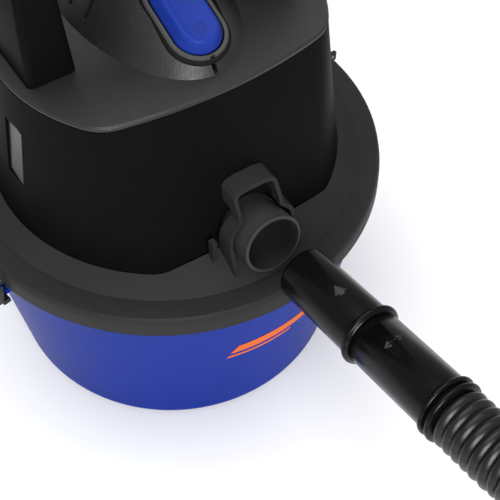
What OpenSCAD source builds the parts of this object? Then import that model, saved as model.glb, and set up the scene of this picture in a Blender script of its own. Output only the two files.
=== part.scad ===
// Small wet and dry vacuum: bucket tank, latched power head and a loose suction hose.
// Millimetres. Z is up, the floor is z = 0, the inlet port points towards -Y.

/* [Tank] */
// Height of the tank's rim above the floor
tank_h = 166; // [140:1:200]
// Outer radius of the tank at its bottom
tank_bottom_r = 126; // [110:1:130]
// Outer radius of the tank at its rim
tank_top_r = 148.6; // [146:0.1:149]
// Wall of the tank
tank_wall = 2.4; // [2:0.1:3.5]
// Radius of the tank's rounded bottom edge
tank_edge_r = 12; // [6:1:20]

/* [Lid] */
// Radius of the flange at its top edge
flange_r = 150; // [150:0.5:152]
// How far the skirt hangs below the flange's top edge
skirt_drop = 15.5; // [12:0.5:18]
// Radius where the flat flange turns into the sloped band
ridge_r = 135; // [132:1:138]
// Rise of the sloped band per millimetre inwards
band_slope = 0.55; // [0.45:0.01:0.6]
// Radius of the air inlet in the middle of the lid
inlet_r = 18; // [14:0.5:20]

/* [Motor housing] */
// Height of the housing and its top cover above its seat in the lid
housing_h = 112; // [105:1:130]
// Radius of the housing at its base
housing_base_r = 120; // [116:0.5:122]
// Radius of the housing at its rim
housing_rim_r = 105; // [102:0.5:108]
// Distance from the axis to the flattened front at the base
front_base = 108; // [104:0.5:110]
// Distance from the axis to the flattened front at the rim
front_rim = 80; // [76:0.5:84]
// Wall of the housing
housing_wall = 2.8; // [2.2:0.1:3.4]

/* [Ports] */
// Inner radius of the inlet and blower ports
port_bore_r = 18.5; // [17:0.1:19]
// Wall of the ports
port_wall = 1.75; // [1.4:0.05:2.2]
// Upward tilt of the inlet port
port_tilt = 12; // [8:0.5:14]
// Distance from the axis to the inlet port's mouth
port_reach = 132; // [128:0.5:136]

/* [Switch] */
// Width of the rocker
rocker_w = 30; // [24:0.5:34]
// Length of the rocker
rocker_l = 56; // [48:0.5:60]
// Slope of the switch's face
switch_slope = 20; // [15:0.5:24]
// Gap round the rocker
rocker_gap = 1.2; // [1:0.1:1.5]

/* [Handle] */
// Height of the finger space above the deck
handle_clear = 68; // [60:1:80]
// Width of a handle post at its foot
post_w = 31; // [26:0.5:32]
// Depth of a handle post at its foot
post_d = 60; // [44:1:62]

/* [Motor and fan] */
// Radius of the impeller
impeller_r = 50; // [44:0.5:51]
// Radius of the motor's shaft
shaft_r = 4; // [3:0.1:5]
// Outer radius of the stator
stator_r = 36; // [32:0.5:37]
// Radius of the rotor's core
rotor_r = 22; // [19:0.5:23]
// Number of impeller blades
blades = 8; // [6:1:12]

/* [Filter] */
// Length of the float cage below the lid
cage_len = 88; // [80:1:92]
// Outer radius of the float cage
cage_r = 41; // [38:0.5:42]
// Thickness of the foam filter sleeve
foam_t = 9; // [6:0.5:10]
// Radius of the float
float_r = 22; // [20:0.5:26]

/* [Latches] */
// Half the width of a latch at its top
latch_half_w = 16; // [14:1:22]
// Radius of the latch pins
latch_pin_r = 1.5; // [1.2:0.1:1.8]

/* [Hose] */
// Outer radius of the hose
hose_r = 18; // [17:0.5:18.5]
// Outer radius of the plug-in cuff
cuff_r = 17.5; // [16:0.1:17.8]
// Length of the plug-in cuff
cuff_len = 62; // [55:1:70]
// Length of the sleeve that holds the hose
sleeve_len = 58; // [50:1:64]
// Gap between the port's mouth and the cuff's tip
cuff_away = 31; // [26:1:36]

/* [Hidden] */
$fn = 96;

eps = 0.05;
run_fit = 0.05;
seam = 0.3;

// Lid levels
flange_z = tank_h + 5;
lid_under_z = flange_z - 2.5;
seat_z = flange_z + 6;
deck_t = 3.5;

// Housing levels
deck_z = seat_z + housing_h;
cover_t = 3.5;
cover_z = deck_z - cover_t;
bow_r = 320;
corner_r = 28;

function rise(z) = (z - seat_z) / housing_h;
function housing_r(z) = housing_base_r + (housing_rim_r - housing_base_r) * rise(z);
function housing_front(z) = front_base + (front_rim - front_base) * rise(z);
function band_z(r) = flange_z - 1 + (ridge_r - r) * band_slope;

// Fan casing and motor bell, which the inlet port's elbow passes in front of
casing_r = impeller_r + 5;
bell_r = casing_r + 5;

// Ports
port_r = port_bore_r + port_wall;
port_axis_z = flange_z + 25;
blower_z = seat_z + 26;
blower_reach = 141;
gland_z = seat_z + 42;
gland_turn = 140;
elbow_gap = 2.35;
elbow_at = (port_reach - bell_r - port_r - elbow_gap) / cos(port_tilt);
elbow_y = -port_reach + elbow_at * cos(port_tilt);
elbow_z = port_axis_z - elbow_at * sin(port_tilt);

// Collar round the inlet port
collar_top_z = flange_z + 60;
collar_half_top = 15;
collar_half = 25;
collar_wall = 2.6;

// Island and switch
island_w = 51.5;
island_front = rocker_l / 2 + 41;
island_rear = 86;
island_mid = 24;
island_h = 35;
switch_y = -35;
switch_z = deck_z + 21.5;
bezel_w = 2.6;
bezel_h = 3.4;
bezel_groove = 2.2;
slot_w = 2.8;
switch_pivot = 8;

// Motor stack
casing_z = seat_z + 3;
casing_h = 30;
bell_wall = 2.2;
stator_z = casing_z + casing_h + 16;
stator_h = 30;
frame_top_z = stator_z + stator_h + 27;
bearing_r = 11;
bearing_h = 7;
lower_bearing_z = casing_z + casing_h - bearing_h - 1;
upper_bearing_z = frame_top_z - bearing_h - 2;
shaft_low_z = casing_z + 4;

// Filter
cage_z = lid_under_z - cage_len;
band_h = 8;
foam_gap = 0.5;
foam_z = cage_z + 3;
foam_top_z = lid_under_z - 8;
float_seat_gap = 0.3;
float_z = cage_z + 2.5 + float_seat_gap + float_r;

// Latches, turned a little from the X axis
latch_turn = 9.5;
pin_x = flange_r + 4.6;
pin_z = flange_z - 6.5;
pad_half = 3.4;
knuckle_r = 3.2;
knuckle_w = 6;
knuckle_y = latch_half_w - 6;
latch_in_r = pin_x - 0.4;
latch_out_r = latch_in_r + 3.2;
lip_drop = 28;
lip_w = 2 * latch_half_w - 8;
lug_out_r = tank_top_r + 1.7;
lip_in_r = lug_out_r - 1;
lug_z = pin_z - lip_drop + 2.5;

// Screws: [x, y] of each
housing_bosses = [[80, -66], [-80, -66], [80, 72], [-80, 72]];
handle_bosses = [[81, -6], [-81, -6], [81, 24], [-81, 24]];
bell_bosses = [for (a = [30, 150, 215, 325]) (bell_r + 7) * [cos(a), sin(a)]];
cage_bosses = [for (a = [90, 210, 330]) [cage_r + 4, a]];
screw_r = 1.9;
screw_head_r = 3.8;

// Hose route, chosen by hand: down from the sleeve, then one loop on the floor
hose_sides = 10;
rings_per_span = 2;
hose_end_len = 90;
hose_end_r = 20;
route = [[0, -350, 241], [-7, -408, 234], [-19, -461, 209], [-34, -500, 166],
    [-51, -526, 112], [-77, -549, 64], [-118, -573, 32], [-170, -597, 18], [-228, -610, 18],
    [-287, -602, 18], [-338, -572, 18], [-373, -524, 18], [-388, -466, 18], [-381, -407, 18],
    [-351, -356, 18], [-304, -321, 19], [-265, -306, 20.5]];

// ---- Shared shapes ----

module tube(r_out, r_in, z0, z1) {
    translate([0, 0, z0]) difference() {
        cylinder(r = r_out, h = z1 - z0);
        translate([0, 0, -1]) cylinder(r = r_in, h = z1 - z0 + 2);
    }
}

module disc(r, z0, z1) {
    translate([0, 0, z0]) cylinder(r = r, h = z1 - z0);
}

// Housing outline at height z, grown by d
module outline(z, d = 0) {
    offset(r = corner_r + d) offset(delta = -corner_r) intersection() {
        circle(r = housing_r(z), $fn = 120);
        translate([0, bow_r - housing_front(z)]) circle(r = bow_r, $fn = 360);
    }
}

module outline_body(z0, z1, d = 0) {
    hull() {
        translate([0, 0, z0]) linear_extrude(0.01) outline(z0, d);
        translate([0, 0, z1 - 0.01]) linear_extrude(0.01) outline(z1, d);
    }
}

// Egg outline of the island, shrunk by d
module egg(d) {
    intersection() {
        translate([0, island_mid]) scale([island_w - d, island_front + island_mid - d]) circle(1, $fn = 72);
        translate([-200, -200]) square([400, 200 + island_mid]);
    }
    intersection() {
        translate([0, island_mid]) scale([island_w - d, island_rear - island_mid - d]) circle(1, $fn = 72);
        translate([-200, island_mid]) square([400, 200]);
    }
}

// Domed island: steep flanks, the front shoulder slopes with the switch
module island(inset) {
    slice = 0.01;
    hull() {
        translate([0, 0, deck_z - 1]) linear_extrude(slice) egg(inset);
        translate([0, 0, deck_z + 9 - inset]) linear_extrude(slice) egg(7 + inset);
        translate([0, 9, deck_z + 24 - inset]) linear_extrude(slice)
            intersection() {
                egg(15 + inset);
                translate([-100, -40]) square([200, 200]);
            }
        translate([0, 0, deck_z + island_h - 3 - inset]) linear_extrude(slice)
            translate([0, 27]) scale([27 - inset, 37 - inset]) circle(1, $fn = 48);
        translate([0, 0, deck_z + island_h - inset]) linear_extrude(slice)
            translate([0, 30]) scale([17 - inset, 27 - inset]) circle(1, $fn = 48);
    }
}

// Places children in the switch's frame: z is out of its face, y towards the rear
module at_switch() {
    translate([0, switch_y, switch_z]) rotate([switch_slope, 0, 0]) children();
}

module pill(w, l) {
    hull() {
        translate([0, (l - w) / 2]) circle(d = w, $fn = 40);
        translate([0, -(l - w) / 2]) circle(d = w, $fn = 40);
    }
}

// Places children in the inlet port's frame: z runs outwards from the mouth
module at_port(s = 0) {
    translate([0, -port_reach, port_axis_z]) rotate([90 - port_tilt, 0, 0]) translate([0, 0, s])
        children();
}

// Cross-head screw that points up, with the top of its head at head_z
module screw(len, head_z) {
    translate([0, 0, head_z]) {
        translate([0, 0, -2.6]) difference() {
            cylinder(r = screw_head_r, h = 2.6);
            translate([0, 0, -1]) cube([1, 5, 3], center = true);
            translate([0, 0, -1]) cube([5, 1, 3], center = true);
        }
        cylinder(r = screw_r, h = len);
    }
}

// ---- Tank ----

// The wall is straight up to a neck, which the rim's bead stands out from
neck_r = tank_top_r - 4.1;
neck_z = tank_h - 14;
bead_z = neck_z + 5;
function tank_r(z) = tank_bottom_r + (neck_r - tank_bottom_r) * z / neck_z;
// Quarter circle of the bottom edge, from angle a0 to a1
function edge_arc(r, a0, a1) = [for (i = [0:6]) let (a = a0 + (a1 - a0) * i / 6)
    [tank_r(tank_edge_r) - tank_edge_r + r * cos(a), tank_edge_r + r * sin(a)]];

// Places children at both latches, as they lie at the +X side
module at_latches() {
    for (a = [0, 180]) rotate(a + latch_turn) children();
}

// Ledge that a latch's lip hooks under, on two gussets
module latch_lug() {
    intersection() {
        tube(lug_out_r, tank_r(lug_z) - 0.5, lug_z, lug_z + 4);
        translate([pin_x, 0, lug_z + 2]) cube([40, lip_w + 4, 8], center = true);
    }
    for (s = [-1, 1]) translate([0, s * lip_w / 3 + 1, 0]) rotate([90, 0, 0]) linear_extrude(2)
        polygon([[tank_r(lug_z) - 1, lug_z + 1], [lug_out_r - 1, lug_z + 3], [tank_r(neck_z) + 0.5, neck_z],
            [tank_r(neck_z) - 1.5, neck_z]]);
}

module tank() {
    rim_in_r = tank_top_r - tank_wall - 1.4;
    color([0.15, 0.24, 0.62]) {
        rotate_extrude($fn = 128) polygon(concat(
            [[0, 2], [tank_bottom_r - 34, 2], [tank_bottom_r - 32, 0]],
            edge_arc(tank_edge_r, -90, 0),
            [[neck_r, neck_z], [tank_top_r, bead_z], [tank_top_r, tank_h], [rim_in_r, tank_h],
             [rim_in_r, bead_z], [neck_r - tank_wall, neck_z - 1]],
            edge_arc(tank_edge_r - tank_wall, 0, -90),
            [[tank_bottom_r - 30, tank_wall], [tank_bottom_r - 34, tank_wall + 2], [0, tank_wall + 2]]));
        at_latches() latch_lug();
    }
}

// ---- Lid ----

// Solid of the lid above its flat underside
module lid_block() {
    skirt_z = flange_z - skirt_drop;
    rotate_extrude($fn = 128) polygon([
        [0, lid_under_z], [flange_r - 0.6, lid_under_z], [flange_r - 0.6, skirt_z],
        [flange_r + 1.7, skirt_z], [flange_r + 1.2, flange_z - 5], [flange_r + 0.4, flange_z - 1.4],
        [flange_r - 1, flange_z], [ridge_r + 1, flange_z - 0.6], [ridge_r, band_z(ridge_r) + 0.2],
        [ridge_r - 30, band_z(ridge_r - 30)], [0, band_z(ridge_r - 30)]]);
}

// Pad that holds one latch's pin, with slots for its knuckles
module latch_pad() {
    difference() {
        translate([pin_x - 8, -latch_half_w, pin_z - pad_half - 0.2])
            cube([8 + pad_half, 2 * latch_half_w, 2 * pad_half + 0.8]);
        disc(flange_r - 0.6, 0, 400);
    }
}

module knuckle_slots() {
    for (s = [-1, 1]) {
        translate([pin_x - knuckle_r - 0.4, s * knuckle_y - knuckle_w / 2 - 0.4, pin_z - 6])
            cube([20, knuckle_w + 0.8, 12]);
    }
}

// Outline of the thin arched collar in front of the housing, d inside its outer face
module collar_outline(d) {
    low = flange_z - 6;
    side = [[collar_half, low], [collar_half, flange_z + 25], [collar_half - 1.5, flange_z + 33],
        [collar_half_top + 1.5, flange_z + 41], [collar_half_top + 0.8, collar_top_z - 3.5],
        [collar_half_top - 1.8, collar_top_z - 0.6], [collar_half_top / 2, collar_top_z + 0.5]];
    offset(delta = -d) polygon(concat(side,
        [for (i = [len(side) - 1:-1:0]) [-side[i][0], side[i][1]]]));
}

// Space in front of the collar's swept front edge, seen from the side
module collar_front_cut() {
    rotate([90, 0, 90]) translate([0, 0, -60]) linear_extrude(120) polygon([
        [-160, flange_z - 10], [-128, flange_z - 10], [-126.5, flange_z + 4], [-120, flange_z + 24],
        [-116.5, flange_z + 46], [-110, collar_top_z - 3], [-109, collar_top_z + 1],
        [-109, collar_top_z + 20], [-160, collar_top_z + 20]]);
}

module collar_back_cut(d) {
    rotate([90, 0, 90]) translate([0, 0, -60]) linear_extrude(120) polygon([
        [-housing_front(seat_z) - d, seat_z - 20], [-housing_front(seat_z) - d, seat_z],
        [-housing_front(collar_top_z + 10) - d, collar_top_z + 10], [-20, collar_top_z + 10],
        [-20, seat_z - 20]]);
}

module collar() {
    difference() {
        translate([0, -60, 0]) rotate([90, 0, 0]) linear_extrude(80) difference() {
            collar_outline(0);
            collar_outline(collar_wall);
        }
        collar_front_cut();
        collar_back_cut(1);
        disc(400, -1, lid_under_z);
    }
}

module lid() {
    color([0.13, 0.13, 0.14]) difference() {
        union() {
            lid_block();
            at_latches() latch_pad();
            tube(141, 138.6, tank_h - 8, lid_under_z + 0.5);
            collar();
            housing_stop();
        }
        // Pocket that the housing stands in
        translate([0, 0, seat_z]) linear_extrude(40) difference() {
            outline(seat_z, 0.5);
            // Keeps the collar's feet
            translate([-collar_half, -200]) square([2 * collar_half, 200 - front_base - 0.9]);
        }
        // Hollow under the deck
        difference() {
            disc(104, lid_under_z - 1, seat_z - deck_t);
            disc(cage_r + 9, 0, 400);
            translate([0, elbow_y, 0]) disc(port_r + 4, 0, 400);
            for (b = bell_bosses) translate([b[0], b[1], 0]) disc(5, 0, 400);
            for (b = housing_bosses) translate([b[0], b[1], 0]) disc(5, 0, 400);
        }
        disc(inlet_r, 0, 400);
        // Way through for the inlet port
        translate([0, elbow_y, 0]) disc(port_r + eps, 0, elbow_z + 10);
        at_port(-elbow_at) cylinder(r = port_r + eps, h = elbow_at + 20);
        for (b = bell_bosses) translate([b[0], b[1], 0]) disc(1.6, 0, 400);
        for (b = housing_bosses) translate([b[0], b[1], 0]) {
            disc(screw_r + 0.2, 0, 400);
            disc(screw_head_r + 0.4, 0, seat_z - deck_t);
        }
        for (b = cage_bosses) rotate(b[1]) translate([b[0], 0, 0]) disc(1.5, 0, seat_z - 1.5);
        at_latches() {
            knuckle_slots();
            translate([pin_x, latch_half_w + 2, pin_z]) rotate([90, 0, 0])
                cylinder(r = latch_pin_r, h = 2 * latch_half_w + 4);
        }
    }
}

module lid_gasket() {
    color([0.08, 0.08, 0.08]) tube(tank_top_r - 0.4, tank_top_r - 5.4, tank_h + eps, lid_under_z);
}

// ---- Inlet port ----

module inlet_port() {
    drop_z = tank_h - 16;
    color([0.12, 0.12, 0.13]) difference() {
        union() {
            at_port(-elbow_at) cylinder(r = port_r, h = elbow_at - 1.2);
            at_port(-1.8) rotate_extrude() polygon([[port_bore_r - 1, 0], [port_r, 0],
                [port_r + 0.4, 0.6], [port_r + 0.3, 1.4], [port_r - 0.5, 1.8], [port_bore_r - 1, 1.8]]);
            translate([0, elbow_y, elbow_z]) sphere(r = port_r + 0.4);
            translate([0, elbow_y, 0]) disc(port_r, drop_z, elbow_z);
            // rests on the lid's deck
            translate([0, elbow_y, 0]) disc(port_r + 2, seat_z, seat_z + 2);
        }
        at_port(-elbow_at) cylinder(r = port_bore_r, h = elbow_at + 10);
        translate([0, elbow_y, elbow_z]) sphere(r = port_bore_r + 0.3);
        translate([0, elbow_y, 0]) disc(port_bore_r, drop_z - 5, elbow_z);
        // deflector opening faces the tank's wall
        translate([-12, -200, drop_z - 5]) cube([24, 200 + elbow_y, 14]);
    }
}

// ---- Housing ----

module boss_with_rib(b, z0, z1, rib_out) {
    a = atan2(b[1], b[0]);
    r = norm(b);
    translate([b[0], b[1], 0]) disc(5, z0, z1);
    rotate(a) translate([r + 3, -1.5, z0 + 1]) cube([rib_out - r - 3, 3, z1 - z0 - 1]);
}

module port_notch() {
    notch_r = port_r + 1.2;
    translate([-notch_r, -160, seat_z - 1]) cube([2 * notch_r, 90, 13]);
    at_port(-70) cylinder(r = notch_r, h = 90);
}

// Small stop on the lid beside the collar
module housing_stop() {
    stop_w = 3.5;
    translate([-collar_half - 8, -front_base - 5, lid_under_z + 1])
        cube([stop_w, 5, seat_z + 20 - lid_under_z]);
}

module label_recess(grow) {
    // flat pocket in the left wall, below the handle's post
    translate([-housing_r(deck_z - 50) + 3 - 0.5, -13, deck_z - 51]) rotate([0, 8, 0])
        translate([-20, -9.5 - grow, -22 - grow]) cube([20, 19 + 2 * grow, 44 + 2 * grow]);
}

module motor_housing() {
    color([0.1, 0.1, 0.11]) difference() {
        union() {
            difference() {
                outline_body(seat_z + eps, cover_z, 0);
                outline_body(seat_z - 1, cover_z + 1, -housing_wall);
            }
            intersection() {
                outline_body(seat_z + eps, cover_z, -1);
                union() {
                    for (b = housing_bosses) boss_with_rib(b, seat_z + eps, seat_z + 26, 125);
                    for (b = handle_bosses) boss_with_rib(b, cover_z - 24, cover_z, 125);
                    // walls of the label's recess
                    difference() {
                        translate([-107, -24.5, deck_z - 77]) cube([12, 23, 52]);
                        label_recess(0);
                    }
                }
            }
        }
        port_notch();
        label_recess(0);
        translate([0, 60, blower_z]) rotate([-90, 0, 0]) cylinder(r = port_r + 0.3, h = 100);
        rotate(gland_turn) translate([80, 0, gland_z]) rotate([0, 90, 0]) cylinder(r = 7, h = 60);
        for (b = housing_bosses) translate([b[0], b[1], 0]) disc(screw_r, seat_z - 1, seat_z + 22);
        for (b = handle_bosses) translate([b[0], b[1], 0]) disc(screw_r + 0.3, cover_z - 30, cover_z + 1);
        // exhaust louvres at the rear, either side of the blower port
        for (side = [-1, 1]) for (i = [0:6]) rotate(90 + side * (18 + i * 4.6))
            translate([90, -1.4, seat_z + 14]) cube([40, 2.8, 30]);
    }
}

module top_cover() {
    color([0.2, 0.2, 0.21]) difference() {
        union() {
            difference() {
                union() {
                    hull() {
                        translate([0, 0, cover_z + seam]) linear_extrude(0.01) outline(cover_z, -0.4);
                        translate([0, 0, deck_z - 1.2]) linear_extrude(0.01) outline(deck_z, 0.5);
                        translate([0, 0, deck_z]) linear_extrude(0.01) outline(deck_z, -0.8);
                    }
                    island(0);
                }
                island(2.6);
                translate([0, 0, -5]) island(2.6);
            }
            // locating lip inside the housing
            translate([0, 0, cover_z - 5]) linear_extrude(6) difference() {
                outline(cover_z, -housing_wall - 0.4);
                outline(cover_z, -housing_wall - 2.4);
            }
        }
        // The lip leaves room for the screw bosses
        for (b = handle_bosses) rotate(atan2(b[1], b[0])) translate([norm(b) - 6, -6, cover_z - 6])
            cube([40, 12, 6 + eps]);
        for (b = handle_bosses) translate([b[0], b[1], 0]) disc(screw_r + 0.2, cover_z - 1, deck_z + 2);
        at_switch() {
            translate([0, 0, -40]) linear_extrude(80)
                pill(rocker_w + 2 * rocker_gap + 2, rocker_l + 2 * rocker_gap + 2);
            translate([0, 0, -bezel_h - 0.2]) linear_extrude(40)
                bezel_pill(2 * bezel_groove);
        }
        // drain slot on the centre line, in front of the switch
        translate([-slot_w / 2, -island_front - 3, deck_z + 0.3]) cube([slot_w, 16, 13]);
        // cooling air slots in both flanks
        for (s = [-1, 1]) for (i = [0:3]) translate([s * 45 - 12, 6 + 16 * i, deck_z + 7])
            cube([24, 3, 17]);
    }
}

// ---- Switch ----

module bezel_pill(d) {
    pill(rocker_w + 2 * (rocker_gap + bezel_w) + d, rocker_l + 2 * (rocker_gap + bezel_w) + d);
}

module switch_bezel() {
    color([0.25, 0.25, 0.26]) at_switch() difference() {
        union() {
            translate([0, 0, -bezel_h]) linear_extrude(bezel_h - 0.8)
                bezel_pill(0);
            translate([0, 0, -0.8]) linear_extrude(0.8)
                bezel_pill(-1.2);
            translate([0, 0, -bezel_h - 7.2]) linear_extrude(7.7)
                pill(rocker_w + 2 * rocker_gap + 1.6, rocker_l + 2 * rocker_gap + 1.6);
        }
        translate([0, 0, -30]) linear_extrude(40)
            pill(rocker_w + 2 * rocker_gap, rocker_l + 2 * rocker_gap);
        // gap that lets the drain slot through
        translate([-slot_w / 2, -rocker_l / 2 - rocker_gap - bezel_w - 1, -bezel_h - 1])
            cube([slot_w, bezel_w, bezel_h + 2]);
    }
}

module switch_body() {
    color([0.16, 0.16, 0.16]) at_switch() {
        difference() {
            union() {
                // body and its flange under the bezel's tube
                translate([-11, -14, -28]) cube([22, 28, 13.5]);
                translate([0, 0, -bezel_h - 9.2]) linear_extrude(2 - eps)
                    pill(rocker_w + 2 * rocker_gap + 1.6, rocker_l + 2 * rocker_gap + 1.6);
                for (s = [-1, 1]) translate([s * 9 - 1.2, -4, -16]) cube([2.4, 8, 10.5]);
            }
            rotate([0, 90, 0]) translate([switch_pivot, 0, -20]) cylinder(r = 1.5 + run_fit, h = 40);
        }
        for (s = [-1, 1]) translate([s * 5 - 0.4, -4, -36]) cube([0.8, 8, 8 + eps]);
    }
}

module rocker() {
    color([0.2, 0.3, 0.72]) at_switch() {
        difference() {
            union() {
                hull() {
                    translate([0, 0, 7.2]) linear_extrude(0.1) pill(rocker_w - 9, rocker_l - 9);
                    translate([0, 0, 6.4]) linear_extrude(0.1) pill(rocker_w - 6.4, rocker_l - 6.4);
                    linear_extrude(0.2) pill(rocker_w, rocker_l);
                }
                translate([0, 0, -3]) linear_extrude(3.1) pill(rocker_w - 0.1, rocker_l - 0.1);
                translate([0, 0, -5]) linear_extrude(2.4) pill(rocker_w - 1, rocker_l - 3);
            }
            // hollow underneath, over the switch's ears
            translate([-12, -12, -10]) cube([24, 24, 8]);
        }
        // stem that the pivot runs through
        difference() {
            translate([-6.5, -4, -10]) cube([13, 8, 8.5]);
            rotate([0, 90, 0]) translate([switch_pivot, 0, -20]) cylinder(r = 1.5 - eps, h = 40);
        }
        rotate([0, 90, 0]) translate([switch_pivot, 0, -10.4]) cylinder(r = 1.5, h = 20.8);
    }
}

// ---- Handle ----

grip_z = deck_z + handle_clear;
grip_t = 24;
grip_d = 38;
post_x = 81.5;
post_y = 8;

module post_slice(x, y, w, d, z) {
    translate([x, y, z]) linear_extrude(0.5) offset(r = 4, $fn = 24) square([w - 8, d - 8], center = true);
}

module grip_slice(x, z0, z1) {
    for (z = [z0 + 7, z1 - 7]) for (s = [-1, 1]) translate([x - 0.25, post_y + s * (grip_d / 2 - 7), z])
        rotate([0, 90, 0]) cylinder(r = 7, h = 0.5, $fn = 32);
}

module half_handle() {
    hull() {
        post_slice(post_x, post_y, post_w, post_d, deck_z + eps);
        post_slice(post_x - 0.5, post_y, post_w - 6, post_d - 10, grip_z - 12);
    }
    hull() {
        post_slice(post_x - 0.5, post_y, post_w - 6, post_d - 10, grip_z - 12);
        post_slice(post_x - 6, post_y, post_w - 7, post_d - 16, grip_z + 4);
        grip_slice(post_x - 24, grip_z, grip_z + grip_t);
    }
    hull() {
        grip_slice(post_x - 24, grip_z, grip_z + grip_t);
        grip_slice(0, grip_z + 2, grip_z + grip_t + 2);
    }
}

module handle() {
    color([0.12, 0.12, 0.13]) difference() {
        union() {
            half_handle();
            mirror([1, 0, 0]) half_handle();
        }
        for (b = handle_bosses) translate([b[0], b[1], 0]) disc(screw_r + eps, deck_z - 1, deck_z + 18);
    }
}

module handle_screws() {
    color("silver") for (b = handle_bosses) translate([b[0], b[1], 0])
        screw(40, cover_z - 24 - eps);
}

module housing_screws() {
    color("silver") for (b = housing_bosses) translate([b[0], b[1], 0])
        screw(24, seat_z - deck_t - eps);
}

// ---- Fittings on the housing ----

module rating_plate() {
    color([0.55, 0.56, 0.58]) intersection() {
        label_recess(-1);
        translate([-housing_r(deck_z - 50) + 3 - 0.5, -13, deck_z - 51]) rotate([0, 8, 0])
            translate([-1, -12, -24]) cube([1, 24, 48]);
    }
}

module blower_port() {
    color([0.12, 0.12, 0.13]) translate([0, 0, blower_z]) rotate([-90, 0, 0]) difference() {
        union() {
            translate([0, 0, bell_r + 1.2]) cylinder(r = port_r, h = blower_reach - bell_r - 1.2);
            translate([0, 0, blower_reach - 3]) cylinder(r = port_r + 0.9, h = 3);
            translate([0, 0, bell_r + 1.2]) cylinder(r = port_r + 3, h = 2);
        }
        cylinder(r = port_bore_r, h = 200);
    }
}

module cord_gland() {
    gland_r = housing_r(gland_z) - housing_wall - 4;
    color([0.08, 0.08, 0.08]) rotate(gland_turn) translate([gland_r, 0, gland_z]) rotate([0, 90, 0])
        difference() {
            union() {
                cylinder(r = 6.9, h = 12);
                translate([0, 0, -1]) cylinder(r = 9.5, h = 2.4);
                translate([0, 0, 10.2]) cylinder(r1 = 9.5, r2 = 8, h = 6);
            }
            translate([0, 0, -5]) cylinder(r = 3.8, h = 40);
        }
}

// ---- Motor and fan ----

module motor_gasket() {
    color([0.08, 0.08, 0.08]) tube(36, 24, seat_z, casing_z);
}

module fan_casing() {
    color([0.72, 0.73, 0.75]) difference() {
        disc(casing_r, casing_z, casing_z + casing_h);
        disc(casing_r - 1.2, casing_z + 1.2, casing_z + casing_h - 8);
        disc(bearing_r + 8, casing_z + 2, casing_z + casing_h - 6);
        disc(20, casing_z - 1, casing_z + 4);
        disc(shaft_r + 1, casing_z, casing_z + casing_h + 1);
        disc(bearing_r, lower_bearing_z, casing_z + casing_h + 1);
        // air leaves upwards between the outer rim and the hub
        for (a = [0:45:315]) rotate(a) translate([32, -6, casing_z + casing_h - 12]) cube([18, 12, 20]);
    }
}

module diffuser() {
    z0 = casing_z + 18.5;
    color([0.75, 0.75, 0.7]) {
        difference() {
            disc(impeller_r + 2, z0, z0 + 1.6);
            disc(shaft_r + 3, z0 - 1, z0 + 3);
        }
        for (a = [0:36:324]) rotate(a) translate([26, 0, z0 + 1.5]) rotate(35)
            cube([22, 1.4, 2]);
    }
}

module motor_bell() {
    lip_z = stator_z + stator_h;
    color([0.16, 0.16, 0.17]) difference() {
        union() {
            disc(bell_r, seat_z + eps, lip_z);
            for (b = bell_bosses) hull() for (k = [0.86, 1])
                translate([b[0] * k, b[1] * k, 0]) disc(5, seat_z + eps, seat_z + 4);
            translate([0, 0, lip_z - eps]) cylinder(r1 = bell_r, r2 = 46, h = 12);
        }
        disc(bell_r - bell_wall, seat_z - 1, lip_z - 0.8);
        translate([0, 0, lip_z - 1]) cylinder(r1 = bell_r - bell_wall, r2 = 46 - bell_wall, h = 12.5);
        disc(42, lip_z, lip_z + 20);
        translate([0, 0, blower_z]) rotate([-90, 0, 0]) cylinder(r = port_bore_r, h = 100);
        for (b = bell_bosses) translate([b[0], b[1], 0]) disc(screw_r + 0.3, seat_z - 1, seat_z + 6);
    }
}

module bell_screws() {
    color("silver") for (b = bell_bosses) translate([b[0], b[1], 0]) {
        disc(screw_head_r, seat_z + 4 + eps, seat_z + 6.6);
        disc(1.6, seat_z - 3, seat_z + 5);
    }
}

module motor_frame() {
    base_z = casing_z + casing_h;
    color([0.68, 0.69, 0.7]) difference() {
        union() {
            // foot ring on the fan casing
            tube(stator_r + 3, stator_r - 5, base_z + eps, base_z + 2);
            // four posts that clasp the stator
            for (a = [45:90:315]) rotate(a) translate([stator_r - 1, -5, base_z + eps])
                cube([3.4, 10, frame_top_z - 3 - base_z]);
            // top spider with the bearing's cup
            for (a = [45:90:315]) rotate(a) translate([8, -5, frame_top_z - 3])
                cube([stator_r - 5.6, 10, 3]);
            disc(bearing_r + 2.4, upper_bearing_z - 1, frame_top_z);
        }
        disc(bearing_r, upper_bearing_z - 2, frame_top_z - 2);
        disc(shaft_r + 1, upper_bearing_z - 2, frame_top_z + 1);
        disc(stator_r + eps, stator_z - eps, stator_z + stator_h + eps);
    }
}

module stator() {
    color([0.45, 0.3, 0.2]) {
        difference() {
            disc(stator_r, stator_z, stator_z + stator_h);
            disc(rotor_r + 0.8, stator_z - 1, stator_z + stator_h + 1);
            for (s = [-1, 1]) translate([s * 29 - 3, -14, stator_z - 1]) cube([6, 28, stator_h + 2]);
        }
        // field coils, passing through the windows
        for (s = [-1, 1]) difference() {
            translate([s * 29 - 3, -14, stator_z - 7]) cube([6, 28, stator_h + 14]);
            disc(rotor_r + 0.8, stator_z - 8, stator_z + stator_h + 8);
        }
    }
}

module brush_holders() {
    z = stator_z + stator_h + 12;
    color([0.3, 0.2, 0.12]) for (s = [-1, 1]) difference() {
        translate([s * 24 - 9, -5, z - 5]) cube([18, 10, 10]);
        translate([s * 24 - 20, -3, z - 3]) cube([40, 6, 6]);
    }
}

module carbon_brushes() {
    z = stator_z + stator_h + 12;
    color([0.1, 0.1, 0.1]) for (s = [-1, 1]) difference() {
        translate([s * 20 - 8.5, -2.95, z - 2.95]) cube([17, 5.9, 5.9]);
        disc(bearing_r + 0.3, z - 10, z + 10);
    }
}

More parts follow.
